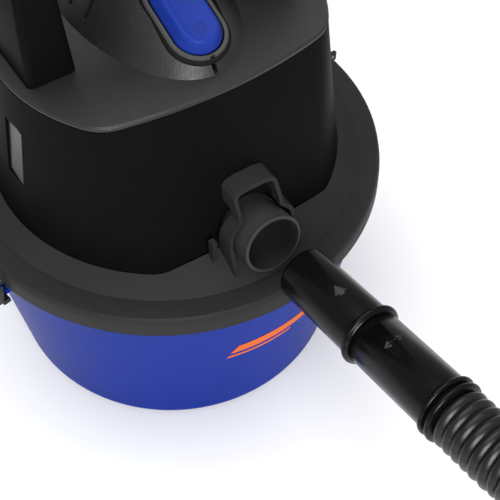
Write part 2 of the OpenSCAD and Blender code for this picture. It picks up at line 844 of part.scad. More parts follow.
module bearing(z) {
    difference() {
        disc(bearing_r, z, z + bearing_h);
        disc(shaft_r + run_fit, z - 1, z + bearing_h + 1);
        for (e = [-1, 1]) translate([0, 0, z + (e > 0 ? bearing_h - 0.6 : -1)])
            tube(bearing_r - 2, shaft_r + 2, 0, 1.6);
    }
}

module upper_bearing() {
    color("silver") bearing(upper_bearing_z);
}

module lower_bearing() {
    color("silver") bearing(lower_bearing_z);
}

module armature() {
    color([0.55, 0.35, 0.2]) {
        disc(shaft_r, shaft_low_z, frame_top_z - 2.6);
        difference() {
            disc(rotor_r, stator_z, stator_z + stator_h);
            for (a = [0:30:330]) rotate(a) translate([rotor_r - 2.5, -0.8, stator_z - 1])
                cube([5, 1.6, stator_h + 2]);
        }
        // end windings
        disc(rotor_r - 4, stator_z - 5, stator_z + stator_h + 5);
    }
}

module commutator() {
    z = stator_z + stator_h + 12;
    color([0.8, 0.5, 0.3]) difference() {
        disc(bearing_r, z - 6.5, z + 6);
        disc(shaft_r, z - 10, z + 10);
        for (a = [0:20:340]) rotate(a) translate([bearing_r - 1, -0.3, z - 7]) cube([3, 0.6, 14]);
    }
}

module cooling_fan() {
    z = casing_z + casing_h + 3;
    color([0.2, 0.2, 0.2]) difference() {
        union() {
            disc(28, z, z + 1.4);
            disc(shaft_r + 3, z, z + 6);
            for (a = [0:36:324]) rotate(a) translate([10, -0.6, z]) cube([17, 1.2, 6]);
        }
        disc(shaft_r, z - 1, z + 8);
    }
}

module impeller() {
    z = casing_z + 4;
    color([0.8, 0.81, 0.83]) difference() {
        union() {
            disc(impeller_r, z + 10, z + 11.2);
            tube(impeller_r, 19, z, z + 1.2);
            disc(shaft_r + 4, z + 4, z + 13);
            for (i = [0:blades - 1]) rotate(i * 360 / blades) translate([16, -0.6, z + 0.5]) rotate(-25)
                cube([impeller_r - 14, 1.2, 10]);
        }
        tube(200, impeller_r, z - 5, z + 20);
        disc(shaft_r, z - 5, z + 20);
    }
}

module impeller_nut() {
    z = casing_z + 4;
    color("silver") difference() {
        translate([0, 0, z]) cylinder(r = 7, h = 4 - eps, $fn = 6);
        disc(shaft_r, z - 5, z + 20);
    }
}

// ---- Filter ----

module float_cage() {
    bars = 10;
    bar_t = 3.1;
    color([0.75, 0.75, 0.72]) difference() {
        union() {
            tube(cage_r, cage_r - 3, lid_under_z - 6, lid_under_z);
            for (b = cage_bosses) rotate(b[1]) translate([b[0], 0, 0])
                disc(5, lid_under_z - 3, lid_under_z);
            for (i = [0:bars - 1]) rotate(i * 360 / bars + 6) translate([cage_r - 3.4, -2.5, cage_z + 1])
                cube([bar_t, 5, cage_len - 2]);
            for (z = [cage_z + 28, cage_z + 56]) tube(cage_r, cage_r - 3, z, z + 3);
            disc(cage_r, cage_z, cage_z + 2.5);
        }
        for (a = [0:60:300]) rotate(a) translate([24, 0, 0]) disc(7, cage_z - 1, cage_z + 4);
        for (b = cage_bosses) rotate(b[1]) translate([b[0], 0, 0])
            disc(1.6, lid_under_z - 10, lid_under_z + 1);
    }
}

module cage_screws() {
    color("silver") for (b = cage_bosses) rotate(b[1]) translate([b[0], 0, 0]) {
        disc(3, lid_under_z - 5.2, lid_under_z - 3);
        disc(1.5, lid_under_z - 4, lid_under_z + 5);
    }
}

module filter_sleeve() {
    color([0.3, 0.31, 0.33]) tube(cage_r + foam_gap + foam_t, cage_r + foam_gap, foam_z,
        foam_top_z);
}

module filter_band() {
    r = cage_r + foam_gap + foam_t;
    color([0.6, 0.6, 0.6]) {
        tube(r + 1, r, foam_top_z - 3 - band_h, foam_top_z - 3);
        translate([r + 0.9, -3, foam_top_z - 3 - band_h]) cube([4, 6, band_h]);
    }
}

module float() {
    color([0.85, 0.85, 0.8]) translate([0, 0, float_z]) sphere(r = float_r);
}

// ---- Latches ----

module latch_outline() {
    half = latch_half_w;
    top = pin_z - 5.6;
    low = pin_z - lip_drop - 4;
    foot = half - 6;
    polygon([[-half, top], [-half, top - 6], [-half + 1, top - 10], [-foot - 2, low + 3], [-foot, low],
        [foot, low], [foot + 2, low + 3], [half - 1, top - 10], [half, top - 6], [half, top]]);
}

module latch() {
    difference() {
        union() {
            intersection() {
                translate([100, 0, 0]) rotate([90, 0, 90]) linear_extrude(80) latch_outline();
                tube(latch_out_r, latch_in_r, 100, 200);
            }
            // catching lip
            intersection() {
                tube(latch_in_r + 0.5, lip_in_r, pin_z - lip_drop - 4, pin_z - lip_drop);
                translate([pin_x, 0, pin_z - lip_drop]) cube([40, lip_w, 20], center = true);
            }
            // finger ridge
            intersection() {
                tube(latch_out_r + 1.2, latch_out_r - 0.5, pin_z - lip_drop - 2.5, pin_z - lip_drop);
                translate([pin_x, 0, pin_z - lip_drop]) cube([40, lip_w - 4, 20], center = true);
            }
            // knuckles
            for (s = [-1, 1]) translate([0, s * knuckle_y + knuckle_w / 2, 0]) rotate([90, 0, 0])
                linear_extrude(knuckle_w) {
                    translate([pin_x, pin_z]) circle(r = knuckle_r);
                    polygon([[pin_x - 2.4, pin_z - 2], [pin_x + 2.9, pin_z - 1.3],
                        [latch_in_r + 2.4, pin_z - 5], [latch_in_r + 2.4, pin_z - 9],
                        [latch_in_r - 0.8, pin_z - 8]]);
                }
        }
        translate([pin_x, 40, pin_z]) rotate([90, 0, 0]) cylinder(r = latch_pin_r + run_fit, h = 80);
    }
}

module latch_right() {
    color([0.07, 0.07, 0.08]) rotate(latch_turn) latch();
}

module latch_left() {
    color([0.07, 0.07, 0.08]) rotate(180 + latch_turn) latch();
}

module latch_pins() {
    color("silver") at_latches() translate([pin_x, latch_half_w - 0.5, pin_z]) rotate([90, 0, 0])
        cylinder(r = latch_pin_r, h = 2 * latch_half_w - 1);
}

// ---- Hose ----

cuff_wall = 1.8;
bead_len = 5;
spigot_r = cuff_r - cuff_wall - 0.7;
spigot_len = 16;
bead_at = cuff_away + cuff_len;
sleeve_at = bead_at + bead_len + 0.3;
sleeve_end = sleeve_at + sleeve_len + 10;

module hose_cuff() {
    color([0.05, 0.05, 0.05]) at_port(cuff_away) difference() {
        union() {
            translate([0, 0, 1.2]) cylinder(r1 = cuff_r - 0.3, r2 = cuff_r, h = cuff_len - 1.2);
            cylinder(r1 = cuff_r - 1.2, r2 = cuff_r - 0.3, h = 1.21);
            translate([0, 0, cuff_len - 0.01]) rotate_extrude() polygon([[10, 0], [cuff_r, 0],
                [cuff_r + 2, 0.9], [cuff_r + 2.5, 2.5], [cuff_r + 2, 4.1], [cuff_r + 0.6, bead_len],
                [10, bead_len]]);
            cylinder(r = spigot_r, h = cuff_len + bead_len + spigot_len);
        }
        translate([0, 0, -1]) cylinder(r = spigot_r - 1.6, h = 200);
        translate([0, 0, -1]) cylinder(r = cuff_r - cuff_wall, h = cuff_len - 8);
    }
}

module cuff_sleeve() {
    color([0.05, 0.05, 0.05]) at_port(sleeve_at) difference() {
        union() {
            cylinder(r = cuff_r - 0.3, h = sleeve_len);
            for (z = [0, 5.4]) translate([0, 0, sleeve_len - 0.01 + z]) rotate_extrude() polygon([[10, 0],
                [cuff_r, 0], [cuff_r + 1.6, 0.8], [cuff_r + 2, 2], [cuff_r + 1.6, 3.2], [cuff_r, 4],
                [10, 4]]);
            cylinder(r = cuff_r - 0.6, h = sleeve_len + 10);
        }
        translate([0, 0, -1]) cylinder(r = spigot_r + run_fit, h = spigot_len + 3);
        translate([0, 0, spigot_len]) cylinder(r = spigot_r - 1.2, h = 200);
    }
}

function on_port_axis(s) = [0, -port_reach - s * cos(port_tilt), port_axis_z + s * sin(port_tilt)];
function spline(a, b, c, d, t) = 0.5 * ((2 * b) + (c - a) * t + (2 * a - 5 * b + 4 * c - d) * t * t
    + (3 * b - a - 3 * c + d) * t * t * t);
hose_points = concat([on_port_axis(sleeve_end + 0.3), on_port_axis(sleeve_end + 30)], route);
hose_last = len(hose_points) - 1;
function hose_ext(i) = i < 0 ? 2 * hose_points[0] - hose_points[1]
    : i > hose_last ? 2 * hose_points[hose_last] - hose_points[hose_last - 1] : hose_points[i];
hose_line = concat([for (i = [0:hose_last - 1]) for (k = [0:rings_per_span - 1])
    spline(hose_ext(i - 1), hose_points[i], hose_points[i + 1], hose_ext(i + 2), k / rings_per_span)],
    [hose_points[hose_last]]);
hose_rings = len(hose_line);

function unit(v) = v / norm(v);
function hose_dir(i) = i == 0 ? unit(hose_line[1] - hose_line[0])
    : i == hose_rings - 1 ? unit(hose_line[i] - hose_line[i - 1])
    : unit(hose_line[i + 1] - hose_line[i - 1]);
function side_of(d) = abs(d[2]) > 0.999 ? [1, 0, 0] : unit(cross([0, 0, 1], d));
function ring_points(i) = let (d = hose_dir(i), a = side_of(d), b = cross(d, a))
    [for (k = [0:hose_sides - 1]) hose_line[i]
        + hose_r * (cos(360 * k / hose_sides) * a + sin(360 * k / hose_sides) * b)];

module hose() {
    n = hose_sides;
    color([0.06, 0.06, 0.06]) polyhedron(
        points = [for (i = [0:hose_rings - 1]) each ring_points(i)],
        faces = concat(
            [[for (k = [0:n - 1]) k]],
            [for (i = [0:hose_rings - 2]) for (k = [0:n - 1])
                [i * n + k, (i + 1) * n + k, (i + 1) * n + (k + 1) % n, i * n + (k + 1) % n]],
            [[for (k = [n - 1:-1:0]) (hose_rings - 1) * n + k]]),
        convexity = 6);
}

module hose_end() {
    d = hose_dir(hose_rings - 1);
    color([0.05, 0.05, 0.05]) translate(hose_line[hose_rings - 1] + 0.3 * d)
        rotate([0, 90 - asin(d[2]), atan2(d[1], d[0])]) difference() {
            union() {
                cylinder(r = hose_end_r, h = 26);
                translate([0, 0, 26 - 0.01]) cylinder(r1 = hose_end_r, r2 = cuff_r + 0.2, h = 6);
                translate([0, 0, 31]) cylinder(r1 = cuff_r + 0.2, r2 = cuff_r - 0.3, h = hose_end_len - 31);
            }
            translate([0, 0, 20]) cylinder(r = cuff_r - cuff_wall - 0.3, h = 200);
        }
}

tank();
lid();
lid_gasket();
inlet_port();
motor_housing();
top_cover();
switch_bezel();
switch_body();
rocker();
handle();
handle_screws();
housing_screws();
rating_plate();
blower_port();
cord_gland();
motor_gasket();
fan_casing();
diffuser();
motor_bell();
bell_screws();
motor_frame();
stator();
brush_holders();
carbon_brushes();
upper_bearing();
lower_bearing();
armature();
commutator();
cooling_fan();
impeller();
impeller_nut();
float_cage();
cage_screws();
filter_sleeve();
filter_band();
float();
latch_left();
latch_right();
latch_pins();
hose_cuff();
cuff_sleeve();
hose();
hose_end();
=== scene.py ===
"""Looks of the small wet and dry vacuum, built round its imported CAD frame. Metres, Z up."""
import math

import bmesh
import bpy
from mathutils import Matrix, Quaternion, Vector


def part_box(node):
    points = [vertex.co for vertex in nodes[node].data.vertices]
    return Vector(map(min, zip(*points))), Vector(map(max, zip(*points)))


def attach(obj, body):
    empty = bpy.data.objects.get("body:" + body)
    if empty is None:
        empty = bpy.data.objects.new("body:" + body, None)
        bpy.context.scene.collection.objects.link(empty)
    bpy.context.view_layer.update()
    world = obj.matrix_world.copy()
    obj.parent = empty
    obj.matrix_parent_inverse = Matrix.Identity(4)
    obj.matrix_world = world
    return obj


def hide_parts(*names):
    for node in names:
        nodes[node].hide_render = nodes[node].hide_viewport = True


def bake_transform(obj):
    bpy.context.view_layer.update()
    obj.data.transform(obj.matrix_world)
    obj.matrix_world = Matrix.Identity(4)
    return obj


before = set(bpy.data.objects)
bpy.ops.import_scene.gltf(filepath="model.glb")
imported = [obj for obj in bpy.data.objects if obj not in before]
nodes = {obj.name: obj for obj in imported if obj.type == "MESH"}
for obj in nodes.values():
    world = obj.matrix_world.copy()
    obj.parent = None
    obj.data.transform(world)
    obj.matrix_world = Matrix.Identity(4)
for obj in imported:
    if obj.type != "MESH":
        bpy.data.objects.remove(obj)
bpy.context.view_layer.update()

MM = 0.001

# ---- Levels and sizes, read from the frame ----

TANK_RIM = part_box("tank")[1].z
FLANGE_TOP = TANK_RIM + 5 * MM
TANK_BOTTOM_R = 126 * MM
TANK_TOP_R = 148.6 * MM
TANK_WALL = 2.4 * MM
TANK_EDGE_R = 12 * MM
NECK_R = TANK_TOP_R - 4.1 * MM
NECK_Z = TANK_RIM - 14 * MM
BEAD_Z = NECK_Z + 5 * MM
LATCH_TURN = math.radians(9.5)
LEDGE_Z = TANK_RIM - 27 * MM
LEDGE_OUT = TANK_TOP_R + 1.7 * MM
LEDGE_W = 20 * MM

# ---- Camera: its turn, height angle, roll and distance from the point it looks at ----

CAMERA_TURN = math.radians(-35.28)
CAMERA_LIFT = math.radians(53.42)
CAMERA_ROLL = math.radians(1.67)
CAMERA_AIM = Vector((-0.004, -0.112, FLANGE_TOP))
CAMERA_AWAY = 0.65
LENS_LENGTH, SENSOR_WIDTH = 72, 36


def place_camera():
    """Makes the camera and sets it as the scene's own."""
    turn, lift = CAMERA_TURN, CAMERA_LIFT
    away = Vector((math.sin(turn) * math.cos(lift), -math.cos(turn) * math.cos(lift), math.sin(lift)))
    lens = bpy.data.cameras.new("view_camera")
    lens.lens, lens.sensor_width = LENS_LENGTH, SENSOR_WIDTH
    camera = bpy.data.objects.new("view_camera", lens)
    bpy.context.collection.objects.link(camera)
    camera.location = CAMERA_AIM + away * CAMERA_AWAY
    camera.rotation_mode = "QUATERNION"
    camera.rotation_quaternion = (-away).to_track_quat("-Z", "Y") @ Quaternion((0, 0, 1), CAMERA_ROLL)
    bpy.context.scene.camera = camera


place_camera()

# ---- Mesh helpers ----


def link(name, mesh):
    """Puts a mesh in the scene as a piece at the origin."""
    piece = bpy.data.objects.new(name, mesh)
    bpy.context.collection.objects.link(piece)
    return piece


def finished(name, bm, material, smooth_under=35):
    """Closes a bmesh into a piece with outward faces and soft shading under an angle."""
    bmesh.ops.remove_doubles(bm, verts=bm.verts, dist=2e-6)
    bmesh.ops.recalc_face_normals(bm, faces=bm.faces)
    mesh = bpy.data.meshes.new(name)
    bm.to_mesh(mesh)
    bm.free()
    mesh.materials.append(material)
    mesh.shade_smooth()
    mesh.set_sharp_from_angle(angle=math.radians(smooth_under))
    return link(name, mesh)


def lathe(bm, profile, steps=96, place=Matrix(), closed=True):
    """Turns a profile of (radius, height) points round the local Z axis."""
    rings = []
    for radius, height in profile:
        rings.append([bm.verts.new(place @ Vector((radius * math.cos(a), radius * math.sin(a), height)))
                      for a in (math.tau * i / steps for i in range(steps))])
    for low, high in zip(rings, rings[1:] + (rings[:1] if closed else [])):
        for i in range(steps):
            j = (i + 1) % steps
            bm.faces.new((low[i], low[j], high[j], high[i]))


def rounded(profile, radius, steps=4):
    """The closed profile with each corner eased by up to that radius."""
    points = []
    count = len(profile)
    for i in range(count):
        before, here, after = (Vector(profile[(i + k) % count]) for k in (-1, 0, 1))
        back, ahead = before - here, after - here
        cut = min(radius, back.length * 0.45, ahead.length * 0.45)
        start, end = here + back.normalized() * cut, here + ahead.normalized() * cut
        for k in range(steps + 1):
            t = k / steps
            points.append(tuple((1 - t) ** 2 * start + 2 * t * (1 - t) * here + t * t * end))
    return points


def arc(middle_r, middle_z, radius, start, end, steps=8):
    """Points of an arc in a lathe profile, angles in degrees from straight outwards."""
    angles = (math.radians(start + (end - start) * i / steps) for i in range(steps + 1))
    return [(middle_r + radius * math.cos(a), middle_z + radius * math.sin(a)) for a in angles]


def loft(bm, rings, close_ends=True):
    """Skins rings that have the same number of points."""
    skins = [[bm.verts.new(p) for p in ring] for ring in rings]
    count = len(skins[0])
    for low, high in zip(skins, skins[1:]):
        for i in range(count):
            j = (i + 1) % count
            bm.faces.new((low[i], low[j], high[j], high[i]))
    if close_ends:
        for ring in (skins[0], skins[-1]):
            middle = bm.verts.new(sum((v.co for v in ring), Vector()) / count)
            for i in range(count):
                bm.faces.new((ring[i], ring[(i + 1) % count], middle))


def plate(bm, outline, outer, inner):
    """Thin plate between two surfaces, each a function from an outline point to a place."""
    top = [bm.verts.new(outer(*p)) for p in outline]
    low = [bm.verts.new(inner(*p)) for p in outline]
    bm.faces.new(top)
    bm.faces.new(list(reversed(low)))
    for i in range(len(outline)):
        j = (i + 1) % len(outline)
        bm.faces.new((top[i], low[i], low[j], top[j]))


def softened(node, material, width, angle=32, name=None):
    """A copy of a CAD node with its edges eased, to stand for the node."""
    bm = bmesh.new()
    bm.from_mesh(nodes[node].data)
    bmesh.ops.remove_doubles(bm, verts=bm.verts, dist=5e-6)
    bmesh.ops.dissolve_limit(bm, angle_limit=math.radians(0.4), verts=bm.verts, edges=bm.edges)
    for layer in list(bm.loops.layers.float_vector.values()):
        bm.loops.layers.float_vector.remove(layer)
    mesh = bpy.data.meshes.new(name or node + "_moulding")
    bm.to_mesh(mesh)
    bm.free()
    if "custom_normal" in mesh.attributes:
        mesh.attributes.remove(mesh.attributes["custom_normal"])
    mesh.materials.clear()
    mesh.materials.append(material)
    for polygon in mesh.polygons:
        polygon.material_index = 0
    mesh.shade_smooth()
    mesh.set_sharp_from_angle(angle=math.radians(angle))
    piece = link(mesh.name, mesh)
    bevel = piece.modifiers.new("eased_edges", "BEVEL")
    bevel.width, bevel.segments = width, 2
    bevel.limit_method, bevel.angle_limit = "ANGLE", math.radians(angle)
    bevel.miter_outer = "MITER_ARC"
    bevel.use_clamp_overlap = True
    bevel.harden_normals = True
    return piece


def place(piece, body, slot, *stands_for):
    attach(piece, body)
    if stands_for:
        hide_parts(*stands_for)
    return piece


# ---- Shared effects of the finishes ----


def new_group(name, inputs, outputs):
    """Shader node group with named sockets, given as (name, kind, default)."""
    tree = bpy.data.node_groups.new(name, "ShaderNodeTree")
    for label, kind, default in inputs:
        tree.interface.new_socket(label, in_out="INPUT", socket_type=kind).default_value = default
    for label, kind in outputs:
        tree.interface.new_socket(label, in_out="OUTPUT", socket_type=kind)
    return tree, tree.nodes.new("NodeGroupInput"), tree.nodes.new("NodeGroupOutput")


def math_node(tree, operation, *values):
    node = tree.nodes.new("ShaderNodeMath")
    node.operation = operation
    feed(tree, node, values)
    return node.outputs[0]


def feed(tree, node, values):
    for socket, value in zip(node.inputs, values):
        if value is None:
            continue
        if isinstance(value, bpy.types.NodeSocket):
            tree.links.new(value, socket)
        else:
            socket.default_value = value


def noise(tree, vector, scale, detail=3.0, rough=0.55):
    node = tree.nodes.new("ShaderNodeTexNoise")
    node.inputs["Detail"].default_value = detail
    node.inputs["Roughness"].default_value = rough
    tree.links.new(vector, node.inputs["Vector"])
    if isinstance(scale, bpy.types.NodeSocket):
        tree.links.new(scale, node.inputs["Scale"])
    else:
        node.inputs["Scale"].default_value = scale
    return node.outputs["Fac"]


def remap(tree, value, low, high, out_low=0.0, out_high=1.0):
    node = tree.nodes.new("ShaderNodeMapRange")
    feed(tree, node, (value, low, high, out_low, out_high))
    return node.outputs["Result"]


def object_place(tree, stretch=(1, 1, 1), turn=(0, 0, 0)):
    coords = tree.nodes.new("ShaderNodeTexCoord")
    mapping = tree.nodes.new("ShaderNodeMapping")
    mapping.inputs["Scale"].default_value = stretch
    mapping.inputs["Rotation"].default_value = turn
    tree.links.new(coords.outputs["Object"], mapping.inputs["Vector"])
    return mapping.outputs["Vector"]


def mix_color(tree, share, first, second):
    node = tree.nodes.new("ShaderNodeMix")
    node.data_type = "RGBA"
    for socket, value in zip((node.inputs[0], node.inputs[6], node.inputs[7]), (share, first, second)):
        if isinstance(value, bpy.types.NodeSocket):
            tree.links.new(value, socket)
        else:
            socket.default_value = value
    return node.outputs[2]


def make_moulded_grain():
    """Fine spark-eroded grain of moulded plastic, as a height and a gloss mask."""
    tree, start, end = new_group(
        "moulded_grain",
        [("Cells per metre", "NodeSocketFloat", 1600.0), ("Depth", "NodeSocketFloat", 0.5)],
        [("Height", "NodeSocketFloat"), ("Gloss", "NodeSocketFloat")])
    at = object_place(tree)
    pits = noise(tree, at, start.outputs[0], 2.0, 0.7)
    waves = noise(tree, at, 90.0, 2.0, 0.5)
    height = math_node(tree, "MULTIPLY", pits, start.outputs[1])
    height = math_node(tree, "ADD", height, math_node(tree, "MULTIPLY", waves, 0.12))
    tree.links.new(height, end.inputs["Height"])
    tree.links.new(remap(tree, pits, 0.3, 0.7), end.inputs["Gloss"])
    return tree


def make_tone_drift():
    """Slow drift of a colour's tone over a moulding, with faint flow marks."""
    tree, start, end = new_group(
        "tone_drift",
        [("Color", "NodeSocketColor", (0.5, 0.5, 0.5, 1)), ("Spread", "NodeSocketFloat", 0.15)],
        [("Color", "NodeSocketColor")])
    cloud = noise(tree, object_place(tree), 14.0, 3.0, 0.6)
    flow = noise(tree, object_place(tree, (30, 30, 260)), 1.0, 2.0, 0.5)
    both = math_node(tree, "ADD", math_node(tree, "MULTIPLY", cloud, 0.75),
                     math_node(tree, "MULTIPLY", flow, 0.25))
    shift = remap(tree, both, 0.3, 0.7, -1.0, 1.0)
    gain = math_node(tree, "ADD", math_node(tree, "MULTIPLY", shift, start.outputs["Spread"]), 1.0)
    node = tree.nodes.new("ShaderNodeHueSaturation")
    tree.links.new(start.outputs["Color"], node.inputs["Color"])
    tree.links.new(gain, node.inputs["Value"])
    tree.links.new(node.outputs["Color"], end.inputs["Color"])
    return tree


def make_handling_marks():
    """Hairline scratches in three directions and rubbed patches, as a mask."""
    tree, start, end = new_group(
        "handling_marks", [("Amount", "NodeSocketFloat", 0.5)], [("Mask", "NodeSocketFloat")])
    patch = remap(tree, noise(tree, object_place(tree), 26.0, 3.0, 0.6), 0.5, 0.72)
    total = None
    for stretch, turn in (((900, 12, 60), (0.2, 0.4, 0.7)), ((14, 800, 90), (0.5, 0.1, 1.9)),
                          ((60, 18, 900), (1.1, 0.5, 0.3))):
        line = remap(tree, noise(tree, object_place(tree, stretch, turn), 1.0, 1.0, 0.5), 0.69, 0.73)
        total = line if total is None else math_node(tree, "MAXIMUM", total, line)
    mask = math_node(tree, "MULTIPLY", total, patch)
    mask = math_node(tree, "ADD", mask, math_node(tree, "MULTIPLY", patch, 0.18))
    tree.links.new(math_node(tree, "MULTIPLY", mask, start.outputs["Amount"]), end.inputs["Mask"])
    return tree


def make_settled_dust():
    """Dust that lies on faces that look up, in a fine and a coarse pattern."""
    tree, start, end = new_group(
        "settled_dust", [("Amount", "NodeSocketFloat", 0.1)], [("Mask", "NodeSocketFloat")])
    geometry = tree.nodes.new("ShaderNodeNewGeometry")
    parts = tree.nodes.new("ShaderNodeSeparateXYZ")
    tree.links.new(geometry.outputs["Normal"], parts.inputs[0])
    facing = remap(tree, parts.outputs["Z"], 0.4, 1.0)
    specks = remap(tree, noise(tree, object_place(tree), 700.0, 2.0, 0.7), 0.55, 0.8, 0.2, 1.0)
    drift = remap(tree, noise(tree, object_place(tree), 9.0, 2.0, 0.5), 0.35, 0.7, 0.3, 1.0)
    mask = math_node(tree, "MULTIPLY", math_node(tree, "MULTIPLY", facing, specks), drift)
    tree.links.new(math_node(tree, "MULTIPLY", mask, start.outputs["Amount"]), end.inputs["Mask"])
    return tree


GRAIN = make_moulded_grain()
DRIFT = make_tone_drift()
MARKS = make_handling_marks()
DUST = make_settled_dust()
DUST_COLOR = (0.30, 0.29, 0.27, 1)


def group_node(tree, group, **values):
    """A shared node group, placed with this material's own values."""
    node = tree.nodes.new("ShaderNodeGroup")
    node.node_tree = group
    for label, value in values.items():
        node.inputs[label.replace("_", " ")].default_value = value
    return node


def new_material(name):
    """A material with its tree and its shader."""
    material = bpy.data.materials.new(name)
    material.use_nodes = True
    tree = material.node_tree
    return material, tree, tree.nodes["Principled BSDF"]


def plastic(name, color, rough, cells=1600.0, depth=0.5, bump=0.12, spread=0.12, marks=0.4, dust=0.06,
            specular=0.5, index=1.45):
    """Moulded plastic or rubber with grain, tone drift, scratches and a little dust."""
    material, tree, shader = new_material(name)
    drift = group_node(tree, DRIFT, Color=(*color, 1), Spread=spread)
    scratch = group_node(tree, MARKS, Amount=marks)
    grain = group_node(tree, GRAIN, Cells_per_metre=cells, Depth=depth)
    settled = group_node(tree, DUST, Amount=dust)
    worn = mix_color(tree, math_node(tree, "MULTIPLY", scratch.outputs["Mask"], 0.25), drift.outputs["Color"],
                     tuple(min(1.0, c * 2.2 + 0.02) for c in color) + (1,))
    tree.links.new(mix_color(tree, settled.outputs["Mask"], worn, DUST_COLOR), shader.inputs["Base Color"])
    gloss = math_node(tree, "ADD", math_node(tree, "MULTIPLY", grain.outputs["Gloss"], 0.10), rough - 0.05)
    gloss = math_node(tree, "ADD", gloss, math_node(tree, "MULTIPLY", scratch.outputs["Mask"], 0.25))
    gloss = math_node(tree, "ADD", gloss, math_node(tree, "MULTIPLY", settled.outputs["Mask"], 0.6))
    tree.links.new(gloss, shader.inputs["Roughness"])
    height = math_node(tree, "SUBTRACT", grain.outputs["Height"],
                       math_node(tree, "MULTIPLY", scratch.outputs["Mask"], 0.3))
    relief = tree.nodes.new("ShaderNodeBump")
    relief.inputs["Strength"].default_value = bump
    relief.inputs["Distance"].default_value = 0.0006
    tree.links.new(height, relief.inputs["Height"])
    tree.links.new(relief.outputs["Normal"], shader.inputs["Normal"])
    shader.inputs["Specular IOR Level"].default_value = specular
    shader.inputs["IOR"].default_value = index
    return material


def metal(name, color, rough, streaks=(20, 20, 1400), bump=0.06):
    """Machined or drawn metal with tool marks and a slight tarnish."""
    material, tree, shader = new_material(name)
    lines = noise(tree, object_place(tree, streaks), 1.0, 3.0, 0.6)
    cloud = noise(tree, object_place(tree), 60.0, 3.0, 0.6)
    scratch = group_node(tree, MARKS, Amount=0.6)
    dull = tuple(c * 0.55 for c in color) + (1,)
    share = remap(tree, cloud, 0.45, 0.75, 0.0, 0.5)
    tree.links.new(mix_color(tree, share, (*color, 1), dull), shader.inputs["Base Color"])
    gloss = math_node(tree, "ADD", math_node(tree, "MULTIPLY", lines, 0.25), rough - 0.1)
    gloss = math_node(tree, "ADD", gloss, math_node(tree, "MULTIPLY", scratch.outputs["Mask"], 0.2))
    tree.links.new(gloss, shader.inputs["Roughness"])
    relief = tree.nodes.new("ShaderNodeBump")
    relief.inputs["Strength"].default_value = bump
    relief.inputs["Distance"].default_value = 0.0004
    tree.links.new(lines, relief.inputs["Height"])
    tree.links.new(relief.outputs["Normal"], shader.inputs["Normal"])
    shader.inputs["Metallic"].default_value = 1.0
    return material


def open_foam(name, color):
    """Reticulated foam: painted shade in the pores between lit strands."""
    material, tree, shader = new_material(name)
    cells = tree.nodes.new("ShaderNodeTexVoronoi")
    cells.feature = "DISTANCE_TO_EDGE"
    cells.inputs["Scale"].default_value = 620
    tree.links.new(object_place(tree), cells.inputs["Vector"])
    strand = remap(tree, cells.outputs["Distance"], 0.02, 0.22, 1.0, 0.0)
    drift = group_node(tree, DRIFT, Color=(*color, 1), Spread=0.25)
    # The pores get a darker copy of the foam colour: painted shade in the holes between the strands.
    painted_pore_shade = tuple(c * 0.12 for c in color) + (1,)
    tree.links.new(mix_color(tree, strand, painted_pore_shade, drift.outputs["Color"]), shader.inputs["Base Color"])
    tree.links.new(remap(tree, strand, 0.0, 1.0, 1.0, 0.75), shader.inputs["Roughness"])
    relief = tree.nodes.new("ShaderNodeBump")
    relief.inputs["Strength"].default_value = 0.9
    relief.inputs["Distance"].default_value = 0.0008
    tree.links.new(strand, relief.inputs["Height"])
    tree.links.new(relief.outputs["Normal"], shader.inputs["Normal"])
    shader.inputs["Specular IOR Level"].default_value = 0.2
    return material


# ---- Finishes ----

tank_blue = plastic("tank_blue", (0.004, 0.021, 0.225), 0.34, cells=900, bump=0.05, spread=0.06, marks=0.35,
                    dust=0.0, specular=0.25, index=1.12)
lid_black = plastic("lid_black", (0.020, 0.020, 0.0202), 0.5, cells=1200, bump=0.45, dust=0.006,
                    specular=0.3, index=1.25)
# The port's plastic is the lid's black with a lighter base colour: painted light, for the light that falls on
# the port from the front.
port_black_painted_light = plastic("port_black_painted_light", (0.030, 0.030, 0.0304), 0.46, bump=0.16, dust=0.004,
                     specular=0.4, index=1.3)
housing_black = plastic("housing_black", (0.0036, 0.0036, 0.0037), 0.5, cells=1200, bump=0.4, dust=0.002,
                        specular=0.3, index=1.12)
cover_black = plastic("cover_black", (0.014, 0.014, 0.0142), 0.38, cells=1100, bump=0.75, dust=0.006,
                      specular=0.5, index=1.45)
bezel_grey = plastic("bezel_grey", (0.050, 0.0495, 0.048), 0.42, bump=0.12, dust=0.02, specular=0.3)
handle_black = plastic("handle_black", (0.003, 0.003, 0.0031), 0.5, bump=0.18, dust=0.003,
                       specular=0.3, index=1.15)
latch_black = plastic("latch_black", (0.008, 0.008, 0.0085), 0.42, bump=0.1, specular=0.3)
rocker_blue = plastic("rocker_blue", (0.010, 0.030, 0.24), 0.36, cells=1200, bump=0.04, spread=0.05,
                      marks=0.2, dust=0.0, specular=0.3, index=1.25)
mark_blue = plastic("mark_blue", (0.006, 0.018, 0.14), 0.4, bump=0.04, spread=0.05, marks=0.1, dust=0.0,
                    specular=0.3)
cuff_black = plastic("cuff_black", (0.0025, 0.0025, 0.0026), 0.2, cells=700, bump=0.05, marks=0.3, dust=0.002,
                     specular=0.35, index=1.3)
cuff_mark = plastic("cuff_mark", (0.02, 0.02, 0.02), 0.36, cells=700, bump=0.04, marks=0.2, dust=0.0,
                    specular=0.5)
hose_black = plastic("hose_black", (0.006, 0.006, 0.0064), 0.32, cells=900, bump=0.05, marks=0.3, dust=0.03,
                     specular=0.4)
seal_rubber = plastic("seal_rubber", (0.005, 0.005, 0.005), 0.75, cells=2200, bump=0.2, marks=0.1,
                      specular=0.2)
switch_dark = plastic("switch_dark", (0.02, 0.02, 0.021), 0.6, marks=0.1)
cage_white = plastic("cage_white", (0.52, 0.52, 0.49), 0.45, bump=0.06, marks=0.3, dust=0.2)
float_white = plastic("float_white", (0.66, 0.65, 0.6), 0.3, cells=500, bump=0.04, marks=0.4, dust=0.1)
